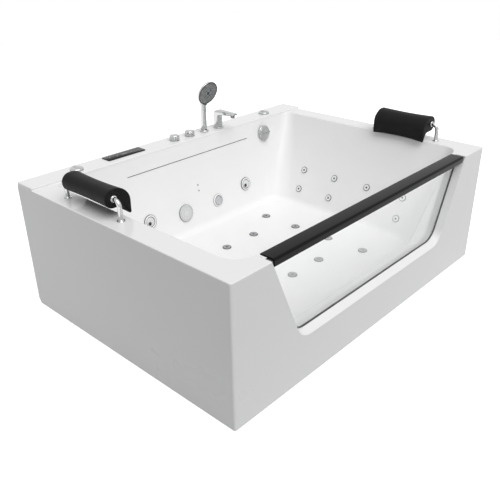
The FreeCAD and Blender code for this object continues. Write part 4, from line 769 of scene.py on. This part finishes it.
# %% Pillow bars
def bar(side, word):
    hinge = joint_place(f"{word}_pillow_tilt")
    spread_y, bend, foot = 180 * MM, 28 * MM, rim_top + 0.2 * MM
    path = []
    for sign in (-1, 1):
        part = [Vector((hinge.x, hinge.y + sign * spread_y, foot))]
        middle = Vector((hinge.x, hinge.y + sign * (spread_y - bend), hinge.z - bend))
        for step in range(11):
            a = math.pi / 2 * step / 10
            part.append(middle + bend * Vector((0, sign * math.cos(a), math.sin(a))))
        path += part if sign < 0 else part[::-1]
    parts = [tube(f"{word}_bar_tube", path, 9.6 * MM, 40)]
    for sign in (-1, 1):
        place = Vector((hinge.x, hinge.y + sign * spread_y, foot))
        flange = [(0, 0), (17, 0), (17, 2.2), (15.6, 3.6), (12.5, 4), (11.2, 6.5), (9, 7.6)]
        parts.append(turned("bar_flange", flange, moved(place), 0.5, 48))
        end = Vector((hinge.x, hinge.y + sign * 146.4 * MM, hinge.z))
        collar = [(0, 0), (14, 0), (14, 3), (12.6, 4.8), (9, 4.9), (0, 4.9)]
        parts.append(turned("bar_collar", collar, facing(end, (0, sign, 0)), 0.6, 40))
    piece = join(f"{word}_pillow_bar", parts)
    return finish(piece, "tub", chrome, "chrome", f"{word}_pillow_bracket")


def flange_screws(side, word):
    """Two sunk screw heads in each flange."""
    hinge = joint_place(f"{word}_pillow_tilt")
    parts = []
    for sign in (-1, 1):
        for way in (-1, 1):
            place = Vector((hinge.x + way * 14.2 * MM, hinge.y + sign * 180 * MM,
                            rim_top + 3.4 * MM))
            head = [(0, -0.4), (2.4, -0.4), (2.3, 0.7), (1.2, 1.0), (0.9, 0.4), (0, 0.4)]
            parts.append(turned("screw", head, moved(place), 0.15, 16))
    return finish(join(f"{word}_bar_screws", parts), "tub", dark_plastic, "dark_plastic")


for side, word in ((-1, "left"), (1, "right")):
    bar(side, word)
    flange_screws(side, word)

# %% [markdown]
# ## Tap knobs
# The two knobs are chrome drums with six shallow finger flutes, a rounded top edge and a fine
# ring on top. The flutes are what makes them sparkle, because each one mirrors another part of
# what stands round it.

# %% Tap knobs
def fluted(name, radius, low, high, flutes, depth, matrix):
    """A drum whose side dips in at every flute."""
    profile = [(0, low), (radius - 1.5, low), (radius, low + 1.5), (radius, high - 4),
               (radius - 1.2, high - 1.4), (radius - 3, high), (radius - 7, high + 0.1),
               (radius - 7.6, high - 0.6), (radius - 8.6, high - 0.6), (radius - 9.2, high + 0.2),
               (0, high + 0.5)]
    rings = []
    for reach, height in rounded(profile, 0.7, 3):
        ring = []
        for i in range(144):
            a = 2 * math.pi * i / 144
            wave = max(0.0, math.cos(flutes * a)) ** 1.5
            fade = min(1.0, max(0.0, (reach - radius + 8) / 5))
            size = max(reach - depth * wave * fade, 0.0)
            ring.append((size * math.cos(a) * MM, size * math.sin(a) * MM, height * MM))
        rings.append(ring)
    return solid(name, rings, matrix=matrix)


for word in ("hot", "cold"):
    place = joint_place(f"{word}_tap_turn")
    knob = fluted(f"{word}_tap_drum", 26, 4.3, 28.5, 6, 1.9, moved(place))
    finish(knob, f"{word}_knob", chrome, "chrome", f"{word}_knob")

# %% [markdown]
# ## Air knobs
# Each air knob is a low disc with a fin that rises to a ridge. Turning it opens a vent that lets
# air into the water jets.

# %% Air knobs
def prism(name, base, ridge, low, high, matrix, soften=1.2):
    """A bar with sloping sides: a wide outline below and a narrow one above."""
    rings = []
    for share, rise in ((0, 0), (0.5, 0.5), (0.9, 0.92), (1, 1)):
        length = base[0] + (ridge[0] - base[0]) * share
        width = base[1] + (ridge[1] - base[1]) * share
        radius = min(soften, length * 0.45, width * 0.45)
        rings.append(rounded_rectangle(length, width, radius, low + (high - low) * rise))
    return solid(name, rings, matrix=matrix)


for word in ("left", "right"):
    matrix = moved(joint_place(f"{word}_air_turn"))
    disc = [(0, 3.3), (30, 3.3), (31, 4.3), (31, 8.2), (29.4, 10.4), (26.5, 11.8), (20, 12.2),
            (0, 12.3)]
    parts = [turned("air_disc", disc, matrix, 0.8, 72),
             prism("air_fin", (56, 13), (34, 3), 11.6, 18.9, matrix @ Matrix.Rotation(math.pi / 2,
                                                                                      4, "Z"))]
    finish(join(f"{word}_air_disc", parts), f"{word}_air_knob", chrome, "chrome_plastic",
           f"{word}_air_knob")

# %% [markdown]
# ## Spout
# The spout is a square post that folds forward into a flat wedge. Its rear top edge is a large
# radius, its underside sweeps up to the tip, and every long edge is slightly broken.

# %% Spout
def spout():
    origin = Vector((0.2631, 0.58, deck_top))
    corners = [(16, 4), (16, 100), (-131, 96), (-131, 86), (-16, 74), (-16, 4)]
    side = outline_points(corners, [0, 26, 3, 3, 20, 0], 10)
    rings = []
    for x, cut_in in ((-18, 1.6), (-17.5, 0.6), (-16.4, 0), (16.4, 0), (17.5, 0.6), (18, 1.6)):
        ring = inset(side, cut_in)
        rings.append([(x * MM, point.x * MM, point.y * MM) for point in ring])
    post = solid("spout_post", rings, matrix=moved(origin))
    flange = [(0, 0.2), (28.5, 0.2), (29, 0.8), (29, 3.6), (27.6, 5.2), (19, 5.6), (0, 5.6)]
    stub = [(0, -60), (9.6, -60), (10.5, -59), (10.5, 2), (0, 2)]
    parts = [post, turned("spout_flange", flange, moved(origin), 0.6, 72),
             turned("spout_stub", stub, moved(origin), 0.3, 32)]
    return join("spout_casting", parts)


finish(spout(), "tub", chrome, "chrome", "spout")

# %% [markdown]
# ## Hand shower
# The handle is a soft square bar that flares a little where the palm rests, then leans forward
# and meets the back of the head. The head is a chrome dish. Its grey face carries rings of small
# rubber nozzles round a dark middle with four short arms, and a black ring with a tab picks the
# spray.

# %% Hand shower
HEAD_TILT = math.radians(20)
head_out = Vector((0, -math.cos(HEAD_TILT), -math.sin(HEAD_TILT)))
head_middle = joint_place("spray_select")
head_matrix = facing(head_middle, head_out, Vector((0, 0, 1)))


def hand_shower():
    foot = Vector((head_middle.x, 0.58, deck_top))
    rings = []
    stations = [(4.4, 12.2, 0), (6, 13, 0), (40, 12.4, 0), (90, 12.0, 0), (130, 12.4, 0), (158,
                                                                                           13.0, 0),
                (172, 12.9, -1.0), (184, 12.2, -4), (196, 11.2, -9), (206, 10.4, -14), (214, 10,
                                                                                        -18.7)]
    for height, half, lean in stations:
        ring = rounded_rectangle(2 * half, 2 * half, half * 0.42, height, 6, (0, lean))
        rings.append(ring)
    handle = solid("shower_grip", rings, matrix=moved(foot))
    dish = [(0, -12.4), (30, -12.2), (46, -9.6), (58, -4.6), (62.3, -0.6), (63, 2), (63, 6.8),
            (62.2, 8.4),
            (58.6, 8.4), (58, 7.6), (58, 4.6), (0, 4.6)]
    return join("shower_body", [handle, turned("shower_dish", dish, head_matrix, 1.4, 96)])


finish(hand_shower(), "hand_shower", chrome, "chrome_plastic", "hand_shower")
plate = [(0, 4.8), (57.6, 4.8), (57.6, 8.6), (56, 9.6), (52, 10.2), (20, 10.8), (0, 10.9)]
face = turned("spray_plate", plate, head_matrix, 0.5, 96)
finish(face, "hand_shower", spray_grey, "jet_face", "spray_face")
nozzles = ring_rows("spray_nozzles", head_matrix @ moved((0, 0, 10.1 * MM)),
                    7, 40, 21, 53, 0.95, 2.0, dark_plastic)
finish(nozzles, "hand_shower", dark_plastic, "dark_plastic")
hub = [turned("spray_hub", [(0, 10.4), (8, 10.4), (7.4, 11.8), (5, 12.2), (0, 12.3)], head_matrix,
              0.4, 40)]
for quarter in range(4):
    turn = Matrix.Rotation(math.radians(45 + 90 * quarter), 4, "Z") @ moved((15 * MM, 0, 0))
    hub.append(prism("spray_arm", (18, 3.6), (17, 2.4), 10.4, 11.9, head_matrix @ turn, 0.9))
finish(join("spray_cross", hub), "hand_shower", dark_plastic, "dark_plastic")
ring_profile = [(58.9, 8.8), (62.2, 8.8), (62.6, 9.6), (62.3, 11.6), (61.2, 12.4), (59.4, 12.4),
                (58.6, 11.4),
                (58.6, 9.2), (58.9, 8.8)]
selector = [turned("selector_ring", ring_profile, head_matrix, 0.2, 96)]
selector.append(prism("selector_tab", (16, 11), (13, 9), 8.8, 12.4,
                      head_matrix @ moved((0, -64 * MM, 0)), 2.6))
finish(join("spray_ring", selector), "spray_selector", dark_plastic, "dark_plastic",
       "spray_selector")

# %% [markdown]
# ## Overflow knob
# The overflow is a chrome disc whose raised grip lifts the waste plug by a cable. The disc has a
# bevelled rim and a shallow ring pressed into its face.

# %% Overflow knob
overflow_matrix = facing(joint_place("overflow_turn"), into_bath)
disc = [(0, 5.4), (42, 5.4), (43, 6.4), (43, 13.4), (41.5, 16.2), (38.6, 17.6), (35, 17.9), (34.2,
                                                                                             17.2),
        (32.4, 17.2), (31.6, 17.9), (0, 18.2)]
grip_rings = []
for cut_in, height in ((0, 17), (0.2, 22), (1.4, 26.2), (3.0, 27.8), (4.6, 28)):
    corners = [(-37, -5), (0, -9), (37, -5), (37, 5), (0, 9), (-37, 5)]
    grip = evenly(outline_points(corners, [3, 30, 3, 3, 30, 3]), 96)
    grip_rings.append([(point.x * MM, point.y * MM, height * MM) for point in inset(grip, cut_in)])
knob = join("overflow_disc", [turned("overflow_plate", disc, overflow_matrix, 0.7, 96),
                              solid("overflow_grip", grip_rings, matrix=overflow_matrix)])
finish(knob, "overflow_knob", chrome, "chrome_plastic", "overflow_knob")

# %% [markdown]
# ## Large jets
# Each large jet is a white bezel screwed through the wall with a grey eyeball in it. The eyeball
# has an off-centre nozzle, so a turn of it moves the stream. A thin bright ring frames both.

# %% Large jets
jet_parts, jet_rims = [], []
for word in ("left", "right"):
    matrix = facing(joint_place(f"{word}_jet_turn"), into_bath)
    bezel = [(0, -52), (29, -52), (29, 0.3), (35.2, 0.3), (36.2, 1.2), (35.6, 3.4), (33.6, 4.8),
             (30.6, 5.0),
             (29.6, 4.2), (28.2, 4.2), (27.2, 5), (25.6, 4.6), (25.4, 3.6), (25.4, -12), (19, -22),
             (0, -22)]
    jet_parts.append(turned("jet_bezel", bezel, matrix, 0.5, 80))
    up_wall = Vector((0, math.sin(back_wall_lean), math.cos(back_wall_lean)))
    stub = facing(matrix @ Vector((0, 0, -34 * MM)), up_wall)
    jet_parts.append(turned("jet_stub", [(0, 0), (14, 0), (14, 65), (0, 65)], stub, 0.2, 32))
    rim = [(34.4, 0.4), (37, 0.4), (37, 1.8), (36.2, 4.4), (35.0, 4.9), (34.4, 4.2), (34.4, 0.4)]
    jet_rims.append(turned("jet_rim", rim, matrix, 0.2, 80))
finish(join("jet_bezels", jet_parts), "tub", white_plastic, "grey_plastic", "large_jet_bodies")
finish(join("jet_rims", jet_rims), "tub", dull_chrome_and_gap_shade, "grey_plastic")


def eyeball(word):
    """The turning ball: a domed ring with a sunk mouth beside its middle."""
    matrix = facing(joint_place(f"{word}_jet_turn"), into_bath)
    ball = [(0, -11), (22.6, -11), (24.2, -9), (24.2, 3.0), (22.6, 6.2), (19.4, 7.8), (18.6, 7.2),
            (17.4, 7.2), (16.6, 8.2), (0, 9)]
    body = f"{word}_jet_nozzle"
    finish(turned(f"{word}_jet_ball", ball, matrix, 0.6, 72), body, pale_plastic, "jet_face", body)
    mouth = matrix @ moved((-9 * MM, -6 * MM, 0))
    lip = [(0, 8), (8.6, 8), (9.4, 9.0), (9.0, 10.2), (7.8, 10.5), (7.0, 9.8), (6.6, 8.6), (0, 8.4)]
    finish(turned(f"{word}_jet_lip", lip, mouth, 0.3, 40), body, dull_chrome_and_gap_shade, "jet_face")
    # A dark ring in the gap between ball and bezel is painted shade for that gap.
    gap_shade = [(24.3, 2.4), (25.3, 2.4), (26.9, 5.0), (26.2, 5.4), (24.3, 4.2), (24.3, 2.4)]
    finish(turned(f"{word}_jet_gap", gap_shade, matrix, 0.2, 64), body, dull_chrome_and_gap_shade, "jet_face")
    # The dark disc in the mouth is painted shade for the inside of the nozzle's opening.
    mouth_shade = [(0, 8.5), (7.6, 8.5), (7.4, 10.2), (3, 10.5), (0, 10.5)]
    finish(turned(f"{word}_jet_mouth", mouth_shade, mouth, 0.2, 32), body, dark_plastic, "dark_plastic")


for word in ("left", "right"):
    eyeball(word)

# %% [markdown]
# ## Suction cover and light
# The suction cover is a flat pale disc. Water goes in through rings of small holes, which hair
# can't block all at once; grey dots on the cover paint the shade in those holes. The light has a
# raised white ring, a darker inner one and a domed lens.

# %% Suction cover and light
suction_matrix = facing(back_wall_place(-0.117, 0.264), into_bath)
cover = [(0, 3.3), (42.6, 3.3), (43, 4.0), (42.8, 6.6), (41.6, 8.2), (39.8, 8.7), (38.4, 8.7),
         (37.8, 8.0), (36.6, 8.0), (36, 8.8), (20, 9.3), (0, 9.5)]
finish(turned("suction_cover", cover, suction_matrix, 0.5, 96), "tub", pale_plastic, "grey_plastic",
       "suction_grille")
# Grey dots on the cover's face are painted shade for its holes.
hole_shade_dots = ring_rows("suction_holes", suction_matrix @ moved((0, 0, 8.8 * MM)),
                  4, 30, 17, 34, 1.25, 0.9, jet_grey_and_hole_shade)
finish(hole_shade_dots, "tub", jet_grey_and_hole_shade, "grey_plastic")
cover_rims = [[(42.8, 0.3), (45.2, 0.3), (45.2, 5.2), (44.6, 6.8), (42.8, 7.0), (42.8, 0.3)],
              [(36.5, 7.9), (37.9, 7.9), (37.9, 8.5), (36.5, 8.5), (36.5, 7.9)]]
rims = [turned("suction_rim", rim, suction_matrix, 0.1, 96) for rim in cover_rims]
finish(join("suction_rims", rims), "tub", jet_grey_and_hole_shade, "grey_plastic")
light_matrix = facing(back_wall_place(0.120, 0.262), into_bath)
housing = [(0, -40), (25, -40), (25, 0.3), (34.4, 0.3), (35, 1.0), (34.8, 3.2), (31.6, 5.8), (28.4,
                                                                                              6.8),
           (27.6, 6.8), (26.6, 8.8), (24.4, 9), (24.0, 8.2), (24.0, 3.0), (0, 3.0)]
finish(turned("light_ring", housing, light_matrix, 0.5, 80), "tub", white_plastic, "grey_plastic",
       "light_housing")
light_rims = [[(24.2, 6.6), (27.6, 6.6), (28.0, 7.4), (26.9, 9.2), (24.9, 9.4), (24.2, 8.6), (24.2,
                                                                                              6.6)],
              [(33.6, 0.3), (35.6, 0.3), (35.6, 2.2), (34.9, 3.4), (33.6, 3.6), (33.6, 0.3)]]
rims = [turned("light_rim", rim, light_matrix, 0.2, 80) for rim in light_rims]
finish(join("light_rims", rims), "tub", jet_grey_and_hole_shade, "grey_plastic")

# %% [markdown]
# ## Line on the back wall and level sensors
# A fine groove runs along the back wall above the jets, and a thin grey strip lies in it as painted
# shade for the groove. Below it are the two small studs that feel the water level.

# %% Line and sensors
line_matrix = facing(back_wall_place(0, 0.531), into_bath)
# The thin grey strip is painted shade: it stands for the shadow inside the groove.
rings = [rounded_rectangle(836, 2.6, 1.2, height) for height in (-1.2, 0.05, 0.25)]
finish(solid("wall_line", rings, matrix=line_matrix), "tub", seal_rubber_and_groove_shade, "grey_plastic")
studs = []
for level in (0.350, 0.380):
    stud = [(0, -14), (3, -14), (3, 0.2), (4.6, 0.2), (4.4, 1.8), (3.0, 2.8), (0, 3.0)]
    studs.append(turned("stud", stud, facing(back_wall_place(0, level), into_bath), 0.4, 24))
finish(join("level_studs", studs), "tub", jet_grey_and_hole_shade, "dark_plastic", "level_sensors")

# %% [markdown]
# ## Small jets
# The sixteen jets of the backrests and the twelve air jets of the floor are discs with a thin
# bright rim and a white face. The dark disc in the middle is painted shade for the nozzle's
# opening. One template of each layer is spread over all the places by the node group.

# %% Small jets
def jet_layers(radius, stem, low):
    """The face, rim and dark middle disc of a small jet as profiles in millimetres; the disc is
    painted shade for the nozzle's opening.
    """
    face = [(0, low), (stem, low), (stem, 0.2), (radius - 2.2, 0.2), (radius - 2.0, 2.2),
            (radius - 3.4, 3.9),
            (radius - 5.5, 4.3), (8.6, 4.6), (7.8, 3.8), (0, 3.8)]
    rim = [(radius - 2.9, 0.2), (radius - 0.3, 0.2), (radius, 0.8), (radius - 0.4, 2.6),
           (radius - 1.6, 4.2),
           (radius - 2.9, 4.2), (radius - 2.9, 0.2)]
    # The dark middle disc is painted shade for the inside of the nozzle's opening.
    hole_shade = [(0, 3.4), (5.2, 3.4), (5.0, 4.6), (4.0, 5.0), (3.2, 4.4), (0, 4.2)]
    return face, rim, hole_shade


def small_jets(name, node, places, direction, radius, low, finishes):
    template = []
    for layer, paint, part in zip(jet_layers(radius, 11, low), finishes, ("faces", "rims",
                                                                          "cores")):
        shape = turned("template", layer, Matrix.Identity(4), 0.3, 48)
        piece = spread(f"{name}_{part}", shape, places, direction, paint)
        template.append(shape)
        slot = "dark_plastic" if part == "cores" else "jet_face"
        finish(piece, "tub", paint, slot, *([node] if part == "faces" else []))
    for shape in template:
        bpy.data.objects.remove(shape)


BASIN_Y = -0.03736
row_of_four = (-1.5, -0.5, 0.5, 1.5)
for side, word in ((-1, "left"), (1, "right")):
    inward = Vector((-side * math.cos(backrest_lean), 0, math.sin(backrest_lean)))
    places = [backrest_place(side, BASIN_Y + 0.214 * o,
                             level) for o in row_of_four for level in (0.225, 0.328)]
    small_jets(f"{word}_back_jet", f"{word}_back_jets", places, inward, 19, -30,
               (white_plastic, dull_chrome_and_gap_shade, dark_plastic))
floor_top = 0.150
places = [Vector((side * 0.320, BASIN_Y + 0.211 * o,
                  floor_top)) for side in (-1, 1) for o in row_of_four]
places += [Vector((side * 0.100, BASIN_Y + 0.211 * o, floor_top)) for side in (-1, 1) for o in (-1,
                                                                                                1)]
small_jets("floor_jet", "floor_air_jets", places, Vector((0, 0, 1)), 23, -26,
           (jet_grey_and_hole_shade, dull_chrome_and_gap_shade, dark_plastic))

# %% [markdown]
# ## Keypad
# The keypad is a touch panel under one glossy black film. Nothing on it travels. Its marks are
# plain: a small ring over each of the five fields, dots between them, and a display window.

# %% Keypad
keypad_low, keypad_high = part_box("control_panel")
middle = Vector(((keypad_low.x + keypad_high.x) / 2, (keypad_low.y + keypad_high.y) / 2, deck_top))
rings = [rounded_rectangle(221 - 2 * cut_in, 62 - 2 * cut_in, 8 - cut_in, height)
         for cut_in, height in ((0.4, 0.2), (0, 0.8), (0, 3.0), (0.4, 3.8), (1.2, 4.2))]
slab = solid("keypad_slab", rings, matrix=moved(middle))
under = [rounded_rectangle(198, 44, 2, height) for height in (-18, 1)]
box_under = solid("keypad_box", under, matrix=moved(middle))
finish(join("keypad_cover", [slab, box_under]), "tub", keypad_film, "keypad", "control_panel")
ring_mark = [(3.6, 0), (4.5, 0), (4.5, 0.15), (3.6, 0.15), (3.6, 0)]
dot_mark = [(0, 0), (1.1, 0), (1.1, 0.15), (0, 0.15)]
fields = [middle + Vector((o * 42.25 * MM, -3 * MM, 4.2 * MM)) for o in (-2, -1, 1, 2)]
dots = [middle + Vector((o * 21.1 * MM, 17 * MM, 4.2 * MM)) for o in range(-4, 5)] + fields
for name, mark, count, places in (("rings", ring_mark, 32, fields), ("dots", dot_mark, 16, dots)):
    template = turned("mark", mark, Matrix.Identity(4), 0.02, count)
    marks = spread(f"keypad_{name}", template, places, Vector((0, 0, 1)), keypad_mark)
    finish(marks, "tub", keypad_mark, "keypad")
    bpy.data.objects.remove(template)
frame_rings = [rounded_rectangle(32, 13, 2, height, 4, (0, -2)) for height in (4.15, 4.35)]
window = solid("keypad_window", frame_rings, matrix=moved(middle))
finish(window, "tub", display_glass, "keypad")

# %% [markdown]
# ## Light and background
# The picture stands on pure white. The world is white only for rays that come straight
# from the camera or off metal and glass. What lights the bath is softer: a dim world, one broad
# sun from above the window's side, and the white floor.

# %% World
AMBIENT = 0.40


def background_rays(tree, path):
    """1 for the rays that look at the background: from the camera, off metal and through glass."""
    rays = [path.outputs[f"Is {word} Ray"] for word in ("Camera", "Glossy", "Transmission")]
    seen = rays[0]
    for ray in rays[1:]:
        larger = tree.nodes.new("ShaderNodeMath")
        larger.operation = "MAXIMUM"
        tree.links.new(seen, larger.inputs[0])
        tree.links.new(ray, larger.inputs[1])
        seen = larger.outputs[0]
    return seen


def studio_world():
    world = bpy.data.worlds.new("studio")
    bpy.context.scene.world = world
    world.use_nodes = True
    tree = world.node_tree
    tree.nodes.clear()
    path, soft = add_nodes(tree, "ShaderNodeLightPath", "ShaderNodeMapRange")
    soft.inputs["To Min"].default_value = AMBIENT
    sky, out = add_nodes(tree, "ShaderNodeBackground", "ShaderNodeOutputWorld")
    link = tree.links.new
    link(background_rays(tree, path), soft.inputs["Value"])
    wire(tree, (soft, "Result", sky, "Strength"), (sky, "Background", out, "Surface"))
    sky.inputs["Color"].default_value = (1, 1, 1, 1)


studio_world()

# %% Sun
SUN_FROM = Vector((-0.12, -0.50, 0.86))
sun_data = bpy.data.lights.new("broad_sun", "SUN")
SUN_STRENGTH, SUN_WIDTH = 1.98, math.radians(55)
sun_data.energy = SUN_STRENGTH
sun_data.angle = SUN_WIDTH
sun = add_object("broad_sun", sun_data)
sun.rotation_euler = SUN_FROM.to_track_quat("Z", "Y").to_euler()

# %% Floor
def floor_material():
    """White to the camera, metal and glass alike, with the bath's contact shadow."""
    made = bpy.data.materials.new("studio_floor")
    made.use_nodes = True
    tree = made.node_tree
    tree.nodes.clear()
    diffuse = tree.nodes.new("ShaderNodeBsdfDiffuse")
    diffuse.inputs["Color"].default_value = (0.9, 0.9, 0.9, 1)
    matt = tree.nodes.new("ShaderNodeBsdfDiffuse")
    matt.inputs["Color"].default_value = (0.28, 0.28, 0.28, 1)
    glow = tree.nodes.new("ShaderNodeEmission")
    glow.inputs["Strength"].default_value = 0.7
    path, both, pick, out = add_nodes(tree, "ShaderNodeLightPath", "ShaderNodeAddShader",
                                      "ShaderNodeMixShader", "ShaderNodeOutputMaterial")
    wire(tree, (diffuse, 0, both, 0), (glow, 0, both, 1))
    tree.links.new(background_rays(tree, path), pick.inputs["Fac"])
    wire(tree, (matt, 0, pick, 1), (both, 0, pick, 2), (pick, 0, out, "Surface"))
    return made


FLOOR_REACH = 8.0
corners = [(-FLOOR_REACH, -FLOOR_REACH, 0), (FLOOR_REACH, -FLOOR_REACH, 0),
           (FLOOR_REACH, FLOOR_REACH, 0), (-FLOOR_REACH, FLOOR_REACH, 0)]
mesh = bpy.data.meshes.new("floor")
mesh.from_pydata(corners, [], [(0, 1, 2, 3)])
floor = add_object("floor", mesh)
mesh.materials.append(floor_material())

# %% [markdown]
# ## Camera
# The camera stands to the left of the window, well above the rim, and looks down over the near
# corner towards the tap deck.

# %% Camera
CAMERA_PLACE = (-2.0585, -1.8169, 1.570)
yaw, pitch, roll = (math.radians(angle) for angle in (46.925, 27.248, -0.815))
ahead = Vector((math.sin(yaw) * math.cos(pitch), math.cos(yaw) * math.cos(pitch), -math.sin(pitch)))
right = ahead.cross(Vector((0, 0, 1))).normalized()
above = right.cross(ahead)
right, above = (math.cos(roll) * right + math.sin(roll) * above,
                math.cos(roll) * above - math.sin(roll) * right)
camera_data = bpy.data.cameras.new("camera")
camera_data.sensor_width = 36
camera_data.lens = 44.498
camera = add_object("camera", camera_data)
turn = Matrix((right, above, -ahead)).transposed().to_4x4()
camera.matrix_world = moved(CAMERA_PLACE) @ turn
bpy.context.scene.camera = camera

# %% View transform
bpy.context.scene.view_settings.view_transform = "Standard"
